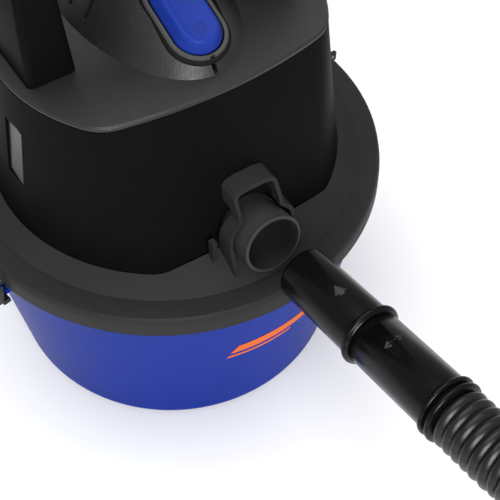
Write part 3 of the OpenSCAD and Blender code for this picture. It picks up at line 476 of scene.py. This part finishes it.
decal_orange = plastic("decal_orange", (0.62, 0.12, 0.014), 0.4, cells=500, bump=0.02, spread=0.04, marks=0.3,
                       dust=0.0, specular=0.2, index=1.2)
plate_grey = plastic("plate_grey", (0.012, 0.0122, 0.0125), 0.35, cells=500, bump=0.03, marks=0.5, dust=0.0)
carbon_grey = plastic("carbon_grey", (0.02, 0.02, 0.021), 0.55, cells=2500, bump=0.3, marks=0.6)
steel = metal("zinc_steel", (0.58, 0.58, 0.57), 0.34)
aluminium = metal("cast_aluminium", (0.62, 0.63, 0.64), 0.42, streaks=(300, 300, 300), bump=0.12)
laminations = metal("stacked_laminations", (0.23, 0.2, 0.18), 0.5, streaks=(4, 4, 1800), bump=0.4)
copper = metal("drawn_copper", (0.72, 0.36, 0.2), 0.3)
brass = metal("brass_holder", (0.66, 0.48, 0.22), 0.34)
foam_grey = open_foam("open_foam", (0.15, 0.155, 0.165))

# ---- Inlet port's axis, from its mouth outwards ----

PORT_TILT = math.radians(12)
PORT_MOUTH = Vector((0, -132, 196)) * MM
PORT_OUT = Vector((0, -math.cos(PORT_TILT), math.sin(PORT_TILT)))
PORT_FRAME = Matrix.Translation(PORT_MOUTH) @ Matrix.Rotation(math.pi / 2 - PORT_TILT, 4, "X")

CUFF_AWAY, CUFF_LEN, CUFF_R = 31 * MM, 62 * MM, 17.5 * MM
BEAD_LEN = 5 * MM
SLEEVE_AT = CUFF_AWAY + CUFF_LEN + BEAD_LEN + 0.3 * MM
SLEEVE_LEN = 58 * MM
SLEEVE_END = SLEEVE_AT + SLEEVE_LEN + 10 * MM
SPIGOT_R = 15 * MM
HOSE_R = 18 * MM
ARROW_TURN = math.radians(97)

# ---- Hose: its route, then a ribbed tube along it ----


def on_port_axis(distance):
    """Point on the inlet port's axis, outwards from its mouth."""
    return PORT_MOUTH + PORT_OUT * distance


HOSE_ROUTE = [on_port_axis(SLEEVE_END + 0.3 * MM), on_port_axis(SLEEVE_END + 30 * MM)] + [
    Vector(p) * MM for p in (
        (0, -350, 241), (-7, -408, 234), (-19, -461, 209), (-34, -500, 166), (-51, -526, 112),
        (-77, -549, 64), (-118, -573, 32), (-170, -597, 18), (-228, -610, 18), (-287, -602, 18),
        (-338, -572, 18), (-373, -524, 18), (-388, -466, 18), (-381, -407, 18), (-351, -356, 18),
        (-304, -321, 19), (-265, -306, 20.5))]


def smooth_route(points, steps):
    """Catmull-Rom curve through the points."""
    ends = [2 * points[0] - points[1]] + points + [2 * points[-1] - points[-2]]
    line = []
    for i in range(len(points) - 1):
        a, b, c, d = ends[i:i + 4]
        for k in range(steps):
            t = k / steps
            line.append(0.5 * (2 * b + (c - a) * t + (2 * a - 5 * b + 4 * c - d) * t * t
                               + (3 * b - a - 3 * c + d) * t ** 3))
    return line + [points[-1]]


HOSE_LINE = smooth_route(HOSE_ROUTE, 12)


def new_geometry_tree(name, inputs):
    """Geometry node tree that takes and gives geometry, with named sizes."""
    tree = bpy.data.node_groups.new(name, "GeometryNodeTree")
    tree.interface.new_socket("Geometry", in_out="INPUT", socket_type="NodeSocketGeometry")
    for label, kind, default in inputs:
        socket = tree.interface.new_socket(label, in_out="INPUT", socket_type=kind)
        if default is not None:
            socket.default_value = default
    tree.interface.new_socket("Geometry", in_out="OUTPUT", socket_type="NodeSocketGeometry")
    return tree, tree.nodes.new("NodeGroupInput"), tree.nodes.new("NodeGroupOutput")


def geometry_end(tree, geometry, start, end):
    """Every tree ends in real geometry with its material."""
    real = tree.nodes.new("GeometryNodeRealizeInstances")
    paint = tree.nodes.new("GeometryNodeSetMaterial")
    tree.links.new(geometry, real.inputs[0])
    tree.links.new(real.outputs[0], paint.inputs["Geometry"])
    tree.links.new(start.outputs["Material"], paint.inputs["Material"])
    tree.links.new(paint.outputs[0], end.inputs[0])


def grown(name, tree, seed_mesh, smooth_under=40, **values):
    """Runs a geometry tree on a mesh and returns the result as a plain piece."""
    seed = link(name + "_seed", seed_mesh)
    modifier = seed.modifiers.new(tree.name, "NODES")
    modifier.node_group = tree
    sockets = {item.name: item.identifier for item in tree.interface.items_tree if item.in_out == "INPUT"}
    for label, value in values.items():
        modifier[sockets[label.replace("_", " ")]] = value
    graph = bpy.context.evaluated_depsgraph_get()
    mesh = bpy.data.meshes.new_from_object(seed.evaluated_get(graph))
    seed.modifiers.remove(modifier)
    bpy.data.objects.remove(seed)
    mesh.name = name
    mesh.shade_smooth()
    mesh.set_sharp_from_angle(angle=math.radians(smooth_under))
    return link(name, mesh)


def line_mesh(points):
    """Open chain of edges for a tree that follows a path."""
    mesh = bpy.data.meshes.new("path")
    mesh.from_pydata([tuple(p) for p in points], [(i, i + 1) for i in range(len(points) - 1)], [])
    return mesh


def make_ribbed_tube():
    """Tube along a path whose wall swells and narrows once a pitch."""
    tree, start, end = new_geometry_tree("ribbed_tube", [
        ("Radius", "NodeSocketFloat", 0.018), ("Pitch", "NodeSocketFloat", 0.006),
        ("Depth", "NodeSocketFloat", 0.0015), ("Sides", "NodeSocketInt", 32),
        ("Material", "NodeSocketMaterial", None)])
    to_curve = tree.nodes.new("GeometryNodeMeshToCurve")
    length = tree.nodes.new("GeometryNodeCurveLength")
    resample = tree.nodes.new("GeometryNodeResampleCurve")
    tree.links.new(start.outputs["Geometry"], to_curve.inputs["Mesh"])
    tree.links.new(to_curve.outputs[0], length.inputs[0])
    ribs = math_node(tree, "ROUND", math_node(tree, "DIVIDE", length.outputs[0], start.outputs["Pitch"]))
    points = math_node(tree, "ADD", math_node(tree, "MULTIPLY", ribs, 8.0), 1.0)
    tree.links.new(to_curve.outputs[0], resample.inputs["Curve"])
    tree.links.new(points, resample.inputs["Count"])
    along = tree.nodes.new("GeometryNodeSplineParameter")
    phase = math_node(tree, "MULTIPLY", math_node(tree, "MULTIPLY", along.outputs["Factor"], ribs), math.tau)
    swell = math_node(tree, "SUBTRACT", 1.0, math_node(tree, "COSINE", phase))
    # a crest with a broad back and a narrow groove
    groove = math_node(tree, "POWER", math_node(tree, "MULTIPLY", swell, 0.5), 0.45)
    share = math_node(tree, "DIVIDE", start.outputs["Depth"], start.outputs["Radius"])
    sunk = math_node(tree, "MULTIPLY", share, math_node(tree, "SUBTRACT", 1.0, groove))
    scale = math_node(tree, "SUBTRACT", 1.0, sunk)
    profile = tree.nodes.new("GeometryNodeCurvePrimitiveCircle")
    tree.links.new(start.outputs["Sides"], profile.inputs["Resolution"])
    tree.links.new(start.outputs["Radius"], profile.inputs["Radius"])
    skin = tree.nodes.new("GeometryNodeCurveToMesh")
    tree.links.new(resample.outputs[0], skin.inputs["Curve"])
    tree.links.new(profile.outputs[0], skin.inputs["Profile Curve"])
    tree.links.new(scale, skin.inputs["Scale"])
    skin.inputs["Fill Caps"].default_value = True
    geometry_end(tree, skin.outputs[0], start, end)
    return tree


RIBBED_TUBE = make_ribbed_tube()
hose = grown("ribbed_hose", RIBBED_TUBE, line_mesh(HOSE_LINE), smooth_under=70, Radius=HOSE_R,
             Pitch=6.2 * MM, Depth=1.9 * MM, Sides=32, Material=hose_black)
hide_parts("hose")
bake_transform(hose)

# ---- Plug-in cuff, sleeve and far cuff ----


def plug_cuff():
    """Cuff that goes into the port, its end bead and the spigot under the sleeve."""
    bm = bmesh.new()
    r, bead = CUFF_R, CUFF_LEN
    wall = r - 1.8 * MM
    spigot_end = CUFF_LEN + BEAD_LEN + 16 * MM
    profile = ([(wall, 0.6 * MM), (r - 1.0 * MM, 0), (r - 0.45 * MM, 0.7 * MM), (r - 0.3 * MM, 2 * MM),
                (r, bead - 0.4 * MM), (r + 0.7 * MM, bead + 0.1 * MM)]
               + arc(r + 0.6 * MM, bead + 2.2 * MM, 1.9 * MM, -75, 75, 10)
               + [(r + 0.4 * MM, bead + BEAD_LEN - 0.2 * MM), (SPIGOT_R, bead + BEAD_LEN),
                  (SPIGOT_R, spigot_end), (SPIGOT_R - 1.6 * MM, spigot_end),
                  (SPIGOT_R - 1.6 * MM, CUFF_LEN - 8 * MM), (wall - 0.4 * MM, CUFF_LEN - 10 * MM)])
    lathe(bm, profile, 96, PORT_FRAME @ Matrix.Translation((0, 0, CUFF_AWAY)))
    return finished("plug_cuff", bm, cuff_black, 40)


def grip_sleeve():
    """Sleeve that turns on the cuff's spigot, with its double ring."""
    bm = bmesh.new()
    r, end = CUFF_R - 0.3 * MM, SLEEVE_LEN
    profile = [(SPIGOT_R + 0.06 * MM, 0.3 * MM), (r - 0.5 * MM, 0), (r, 0.6 * MM), (r, end - 1 * MM)]
    for at in (1.9 * MM, 7.3 * MM):
        profile += [(r + 0.2 * MM, end + at - 1.8 * MM)] + arc(r + 0.4 * MM, end + at, 1.7 * MM, -70, 70, 8) \
            + [(r - 0.2 * MM, end + at + 1.9 * MM)]
    profile += [(r - 1.2 * MM, end + 10 * MM), (SPIGOT_R - 1.2 * MM, end + 10 * MM),
                (SPIGOT_R - 1.2 * MM, 16.4 * MM), (SPIGOT_R + 0.06 * MM, 16.2 * MM)]
    lathe(bm, profile, 96, PORT_FRAME @ Matrix.Translation((0, 0, SLEEVE_AT)))
    return finished("grip_sleeve", bm, cuff_black, 40)


def arrow_outline(length, width, shaft, heads=1):
    """Arrow along +v, with a head at one end or at both."""
    half, head = length / 2, width * 0.85
    right = [(shaft / 2, half - head), (width / 2, half - head)]
    left = [(-x, y) for x, y in reversed(right)]
    if heads == 2:
        low_left = [(-x, -y) for x, y in right]
        low_right = [(x, -y) for x, y in reversed(right)]
        return right + [(0, half)] + left + low_left + [(0, -half)] + low_right
    return right + [(0, half)] + left + [(-shaft / 2, -half), (shaft / 2, -half)]


def raised_on_cuff(name, outline, radius, distance, around):
    """Raised mark on a cuff: u runs round it and v towards the port."""
    def surface(lift):
        def at(u, v):
            a = around + u / radius
            spot = Vector(((radius + lift) * math.cos(a), (radius + lift) * math.sin(a), distance - v))
            return PORT_FRAME @ spot
        return at
    bm = bmesh.new()
    plate(bm, outline, surface(0.35 * MM), surface(-0.4 * MM))
    return finished(name, bm, cuff_mark, 30)


def far_cuff():
    """Cuff on the far end of the hose."""
    direction = (HOSE_LINE[-1] - HOSE_LINE[-7]).normalized()
    turned = direction.to_track_quat("Z", "Y").to_matrix().to_4x4()
    at = Matrix.Translation(HOSE_LINE[-1] + direction * 0.3 * MM) @ turned
    bm = bmesh.new()
    grip, bore, end = 20 * MM, CUFF_R - 2.1 * MM, 90 * MM
    profile = rounded([(0.5 * MM, 0), (grip, 0), (grip, 26 * MM), (CUFF_R + 0.2 * MM, 32 * MM),
                       (CUFF_R - 0.3 * MM, end), (bore, end), (bore, 20 * MM), (0.5 * MM, 20 * MM)], 1.2 * MM)
    lathe(bm, profile, 72, at)
    return finished("far_cuff", bm, cuff_black, 40)


place(plug_cuff(), "plug", "hose_black", "hose_cuff")
place(grip_sleeve(), "cuff", "hose_black", "cuff_sleeve")
far_end = place(far_cuff(), "tank", "hose_black", "hose_end")
place(raised_on_cuff("cuff_arrow", arrow_outline(8.5 * MM, 8 * MM, 3.4 * MM), CUFF_R,
                     CUFF_AWAY + 39 * MM, ARROW_TURN), "plug", "hose_black")
place(raised_on_cuff("sleeve_arrow", [(v, u) for u, v in arrow_outline(13 * MM, 4.6 * MM, 1.5 * MM, 2)],
                     CUFF_R - 0.3 * MM, SLEEVE_AT + 20 * MM, ARROW_TURN), "cuff", "hose_black")

# ---- Tank ----


def tank_r(z):
    """Outer radius of the tank's cone at a height."""
    return TANK_BOTTOM_R + (NECK_R - TANK_BOTTOM_R) * z / NECK_Z


def tank_shell():
    """Tank with its rounded foot, neck, bead and rim."""
    bm = bmesh.new()
    corner = tank_r(TANK_EDGE_R) - TANK_EDGE_R
    inner = TANK_EDGE_R - TANK_WALL
    rim_in = TANK_TOP_R - TANK_WALL - 1.4 * MM
    foot = TANK_BOTTOM_R - 32 * MM
    outside = ([(0.0, 2 * MM), (foot - 2 * MM, 2 * MM), (foot, 0.1 * MM), (foot + 2 * MM, 0)]
               + arc(corner, TANK_EDGE_R, TANK_EDGE_R, -90, 0, 12))
    rim = [(NECK_R, NECK_Z), (NECK_R + 0.3 * MM, NECK_Z + 0.8 * MM),
           (TANK_TOP_R - 0.3 * MM, BEAD_Z - 0.4 * MM), (TANK_TOP_R, BEAD_Z + 0.6 * MM),
           (TANK_TOP_R, TANK_RIM - 0.8 * MM), (TANK_TOP_R - 0.8 * MM, TANK_RIM),
           (rim_in + 0.6 * MM, TANK_RIM), (rim_in, TANK_RIM - 0.6 * MM), (rim_in, BEAD_Z),
           (NECK_R - TANK_WALL, NECK_Z - 1 * MM)]
    inside = (arc(corner, TANK_EDGE_R, inner, 0, -90, 10)
              + [(foot, TANK_WALL), (foot - 2 * MM, TANK_WALL + 2 * MM), (0.0, TANK_WALL + 2 * MM)])
    lathe(bm, outside + rim + inside, 192, closed=False)
    return finished("tank_shell", bm, tank_blue, 30)


def latch_ledge(name, turn):
    """Ledge that a latch hooks under, with two gussets up to the neck."""
    bm = bmesh.new()
    inside = tank_r(LEDGE_Z) - 0.6 * MM
    section = rounded([(inside, LEDGE_Z), (LEDGE_OUT, LEDGE_Z), (LEDGE_OUT, LEDGE_Z + 4 * MM),
                       (inside, LEDGE_Z + 4 * MM)], 0.6 * MM, 2)
    half = LEDGE_W / 2 / LEDGE_OUT
    rings = []
    for i in range(9):
        a = turn + half * (i / 4 - 1)
        rings.append([Vector((r * math.cos(a), r * math.sin(a), z)) for r, z in section])
    loft(bm, rings)
    side = [(inside, LEDGE_Z + 1 * MM), (LEDGE_OUT - 1 * MM, LEDGE_Z + 3 * MM), (NECK_R + 0.4 * MM, NECK_Z),
            (NECK_R - 1.2 * MM, NECK_Z)]
    for shift in (-8 * MM, 8 * MM):
        def face(edge):
            return lambda r, z: Matrix.Rotation(turn, 3, "Z") @ Vector((r, shift + edge, z))
        plate(bm, rounded(side, 0.8 * MM, 2), face(1 * MM), face(-1 * MM))
    return finished(name, bm, tank_blue, 30)


place(tank_shell(), "tank", "tank_blue", "tank")
place(latch_ledge("latch_ledge_right", LATCH_TURN), "tank", "tank_blue")
place(latch_ledge("latch_ledge_left", LATCH_TURN + math.pi), "tank", "tank_blue")

# ---- Lid, housing and cover: their mouldings with eased edges ----

place(softened("lid", lid_black, 0.7 * MM), "head", "black_plastic", "lid")
place(softened("motor_housing", housing_black, 0.5 * MM), "head", "black_plastic", "motor_housing")
place(softened("top_cover", cover_black, 0.6 * MM), "head", "deck_plastic", "top_cover")
place(softened("switch_bezel", bezel_grey, 0.35 * MM), "head", "deck_plastic", "switch_bezel")
place(softened("handle", handle_black, 1.5 * MM, angle=50), "head", "black_plastic", "handle")
# The inlet port takes the lighter copy of the lid's black: painted light.
place(softened("inlet_port", port_black_painted_light, 0.4 * MM), "head", "black_plastic", "inlet_port")

# ---- Rocker ----

SWITCH_FRAME = Matrix.Translation(Vector((0, -35, 310.5)) * MM) @ Matrix.Rotation(math.radians(20), 4, "X")
ROCKER_W, ROCKER_L = 30 * MM, 56 * MM
# Sections in mm: how far in or out from the rocker's outline, then height over the switch frame.
ROCKER_SECTION = (
    (1.0, -5), (0.6, -3), (0.05, -2), (0, 0.1), (0.5, 1.1), (1.3, 2.8), (2.2, 4.8), (2.9, 6.2),
    (3.4, 6.8), (4.0, 7.12), (4.6, 7.25), (5.3, 7.2), (6.4, 7.0), (8.5, 6.8), (11.5, 6.7), (13.5, 6.68))
# Section of the black ring round the bezel: painted shadow, a dark sheet where the bezel's side and the
# groove are in shade.
PAINTED_SHADOW_SECTION = ((3.6, -3.9), (3.75, -0.95), (4.2, -0.95), (5.0, -1.9), (5.8, -3.2), (5.8, -3.9), (3.6, -3.9))


def pill(width, length, z, matrix, steps=24):
    """Points of a pill outline at height z."""
    radius, shift = width / 2, (length - width) / 2
    ring = []
    for side in (1, -1):
        for i in range(steps + 1):
            a = math.pi * i / steps + (0 if side > 0 else math.pi)
            ring.append(matrix @ Vector((radius * math.cos(a), radius * math.sin(a) + side * shift, z)))
    return ring


def rocker_cap():
    """Rocker with a crowned rim and a hollowed top."""
    bm = bmesh.new()
    loft(bm, [pill(ROCKER_W - 2 * inset * MM, ROCKER_L - 2 * inset * MM, z * MM, SWITCH_FRAME)
              for inset, z in ROCKER_SECTION])
    return finished("rocker_cap", bm, rocker_blue, 50)


def bezel_painted_shadow():
    """Black ring that fills the groove round the bezel, up to its side: painted shadow where the groove and
    the bezel's side lie in shade.
    """
    bm = bmesh.new()
    rings = [pill(ROCKER_W + 2 * side * MM, ROCKER_L + 2 * side * MM, z * MM, SWITCH_FRAME)
             for side, z in PAINTED_SHADOW_SECTION]
    loft(bm, rings, close_ends=False)
    return finished("bezel_painted_shadow", bm, seal_rubber, 40)


place(rocker_cap(), "rocker", "rocker_blue", "rocker")
# The black ring round the bezel is painted shadow, not a real seal.
place(bezel_painted_shadow(), "head", "seal_rubber")


def ring_mark():
    """Two raised rings at the off end of the rocker."""
    bm = bmesh.new()
    place_at = SWITCH_FRAME @ Matrix.Translation((0, -15.5 * MM, 6.75 * MM))
    for radius in (3.3 * MM, 1.7 * MM):
        lathe(bm, rounded([(radius, -0.4 * MM), (radius, 0.16 * MM), (radius + 0.45 * MM, 0.16 * MM),
                           (radius + 0.45 * MM, -0.4 * MM)], 0.1 * MM, 2), 48, place_at)
    return finished("off_mark", bm, mark_blue, 30)


def bar_mark():
    """Raised bar at the on end of the rocker."""
    bm = bmesh.new()
    outline = [(-0.4, 3), (0.4, 3), (0.4, 10), (-0.4, 10)]
    plate(bm, [(x * MM, y * MM) for x, y in outline],
          lambda x, y: SWITCH_FRAME @ Vector((x, y, 6.9 * MM)),
          lambda x, y: SWITCH_FRAME @ Vector((x, y, 6.3 * MM)))
    return finished("on_mark", bm, mark_blue, 30)


place(ring_mark(), "rocker", "rocker_blue")
place(bar_mark(), "rocker", "rocker_blue")

# ---- Decal: two plain stripes on the tank ----


def stripe(name, start, end, low, high, slant):
    """Thin stripe on the tank's cone between two azimuths, its ends slanted."""
    bm = bmesh.new()
    steps = 28
    grids = []
    for lift in (0.15 * MM, -0.3 * MM):
        rows = []
        for v in (0.0, 0.5, 1.0):
            z = low + (high - low) * v
            row = []
            for i in range(steps + 1):
                a = math.radians(start + (end - start) * i / steps + slant * v)
                r = tank_r(z) + lift
                row.append(bm.verts.new((r * math.cos(a), r * math.sin(a), z)))
            rows.append(row)
        grids.append(rows)
    top, low_grid = grids
    for rows, flip in ((top, False), (low_grid, True)):
        for a, b in zip(rows, rows[1:]):
            for i in range(steps):
                face = (a[i], a[i + 1], b[i + 1], b[i])
                bm.faces.new(tuple(reversed(face)) if flip else face)
    for k in (0, -1):
        for i in range(steps):
            bm.faces.new((top[k][i], top[k][i + 1], low_grid[k][i + 1], low_grid[k][i]))
        for j in range(2):
            bm.faces.new((top[j][k], top[j + 1][k], low_grid[j + 1][k], low_grid[j][k]))
    return finished(name, bm, decal_orange, 30)


place(stripe("tank_stripe_wide", -104, -76, 97 * MM, 106 * MM, 2.5), "tank", "tank_blue")
place(stripe("tank_stripe_thin", -105, -84, 91 * MM, 93.5 * MM, 0.7), "tank", "tank_blue")

# ---- Grip ribs on the latches ----


def make_rib_row():
    """Round bar at every point of the seed, lying across and turned about Z."""
    tree, start, end = new_geometry_tree("rib_row", [
        ("Radius", "NodeSocketFloat", 0.0009), ("Length", "NodeSocketFloat", 0.018),
        ("Turn", "NodeSocketFloat", 0.0), ("Material", "NodeSocketMaterial", None)])
    bar = tree.nodes.new("GeometryNodeMeshCylinder")
    bar.inputs["Vertices"].default_value = 12
    tree.links.new(start.outputs["Radius"], bar.inputs["Radius"])
    tree.links.new(start.outputs["Length"], bar.inputs["Depth"])
    turned = tree.nodes.new("ShaderNodeCombineXYZ")
    turned.inputs["X"].default_value = math.pi / 2
    tree.links.new(start.outputs["Turn"], turned.inputs["Z"])
    spread = tree.nodes.new("GeometryNodeInstanceOnPoints")
    tree.links.new(start.outputs["Geometry"], spread.inputs["Points"])
    tree.links.new(bar.outputs["Mesh"], spread.inputs["Instance"])
    tree.links.new(turned.outputs["Vector"], spread.inputs["Rotation"])
    geometry_end(tree, spread.outputs["Instances"], start, end)
    return tree


def point_mesh(points):
    """Loose points for a tree that sets something on each."""
    mesh = bpy.data.meshes.new("points")
    mesh.from_pydata([tuple(p) for p in points], [], [])
    return mesh


RIB_ROW = make_rib_row()
RIB_COUNT, RIB_TOP, RIB_PITCH = 3, 148, 3.4
LATCH_FACE = 157.2 * MM
for side, turn in (("right", LATCH_TURN), ("left", LATCH_TURN + math.pi)):
    spots = [(LATCH_FACE * math.cos(turn), LATCH_FACE * math.sin(turn), (RIB_TOP - RIB_PITCH * k) * MM)
             for k in range(RIB_COUNT)]
    ribs = grown(f"latch_ribs_{side}", RIB_ROW, point_mesh(spots), Radius=0.9 * MM, Length=19 * MM,
                 Turn=turn, Material=latch_black)
    place(ribs, f"latch_{side}", "latch_plastic")

# ---- CAD nodes that keep their shape ----

FINISHES = {
    "lid_gasket": seal_rubber, "switch_body": switch_dark, "handle_screws": steel, "housing_screws": steel,
    "rating_plate": plate_grey, "blower_port": lid_black, "cord_gland": seal_rubber,
    "motor_gasket": seal_rubber,
    "fan_casing": aluminium, "diffuser": cage_white, "motor_bell": handle_black, "bell_screws": steel,
    "motor_frame": aluminium, "stator": laminations, "brush_holders": brass, "carbon_brushes": carbon_grey,
    "upper_bearing": steel, "lower_bearing": steel, "armature": laminations, "commutator": copper,
    "cooling_fan": cage_white, "impeller": aluminium, "impeller_nut": steel, "float_cage": cage_white,
    "cage_screws": steel, "filter_sleeve": foam_grey, "filter_band": cage_white, "float": float_white,
    "latch_left": latch_black, "latch_right": latch_black, "latch_pins": steel}
for node, finish in FINISHES.items():
    nodes[node].data.materials.clear()
    nodes[node].data.materials.append(finish)

# ---- Floor and light ----

FLOOR_HALF = 6
FLOOR_TONE = 0.93
SKY_STRENGTH = 0.5
LIGHT_AIM = Vector((0, -0.05, 0.2))
SOFTBOXES = (("top_softbox", (0.0, 0.2, 1.5), 1.4, 13), ("front_softbox", (-0.5, -1.2, 0.9), 0.7, 20))


def stage():
    """Pale floor, an even white world and two softboxes."""
    bm = bmesh.new()
    bmesh.ops.create_grid(bm, x_segments=1, y_segments=1, size=FLOOR_HALF)
    material, _, shader = new_material("pale_floor")
    shader.inputs["Base Color"].default_value = (FLOOR_TONE, FLOOR_TONE, FLOOR_TONE, 1)
    shader.inputs["Roughness"].default_value = 0.8
    floor = finished("floor", bm, material)
    world = bpy.data.worlds.new("studio")
    bpy.context.scene.world = world
    world.use_nodes = True
    world.node_tree.nodes["Background"].inputs["Color"].default_value = (1, 1, 1, 1)
    world.node_tree.nodes["Background"].inputs["Strength"].default_value = SKY_STRENGTH
    bpy.context.scene.view_settings.view_transform = "Standard"
    for name, spot, size, power in SOFTBOXES:
        light = bpy.data.lights.new(name, "AREA")
        light.shape, light.size, light.energy = "SQUARE", size, power
        lamp = bpy.data.objects.new(name, light)
        bpy.context.collection.objects.link(lamp)
        lamp.location = spot
        lamp.rotation_mode = "QUATERNION"
        lamp.rotation_quaternion = (LIGHT_AIM - Vector(spot)).to_track_quat("-Z", "Y")


stage()
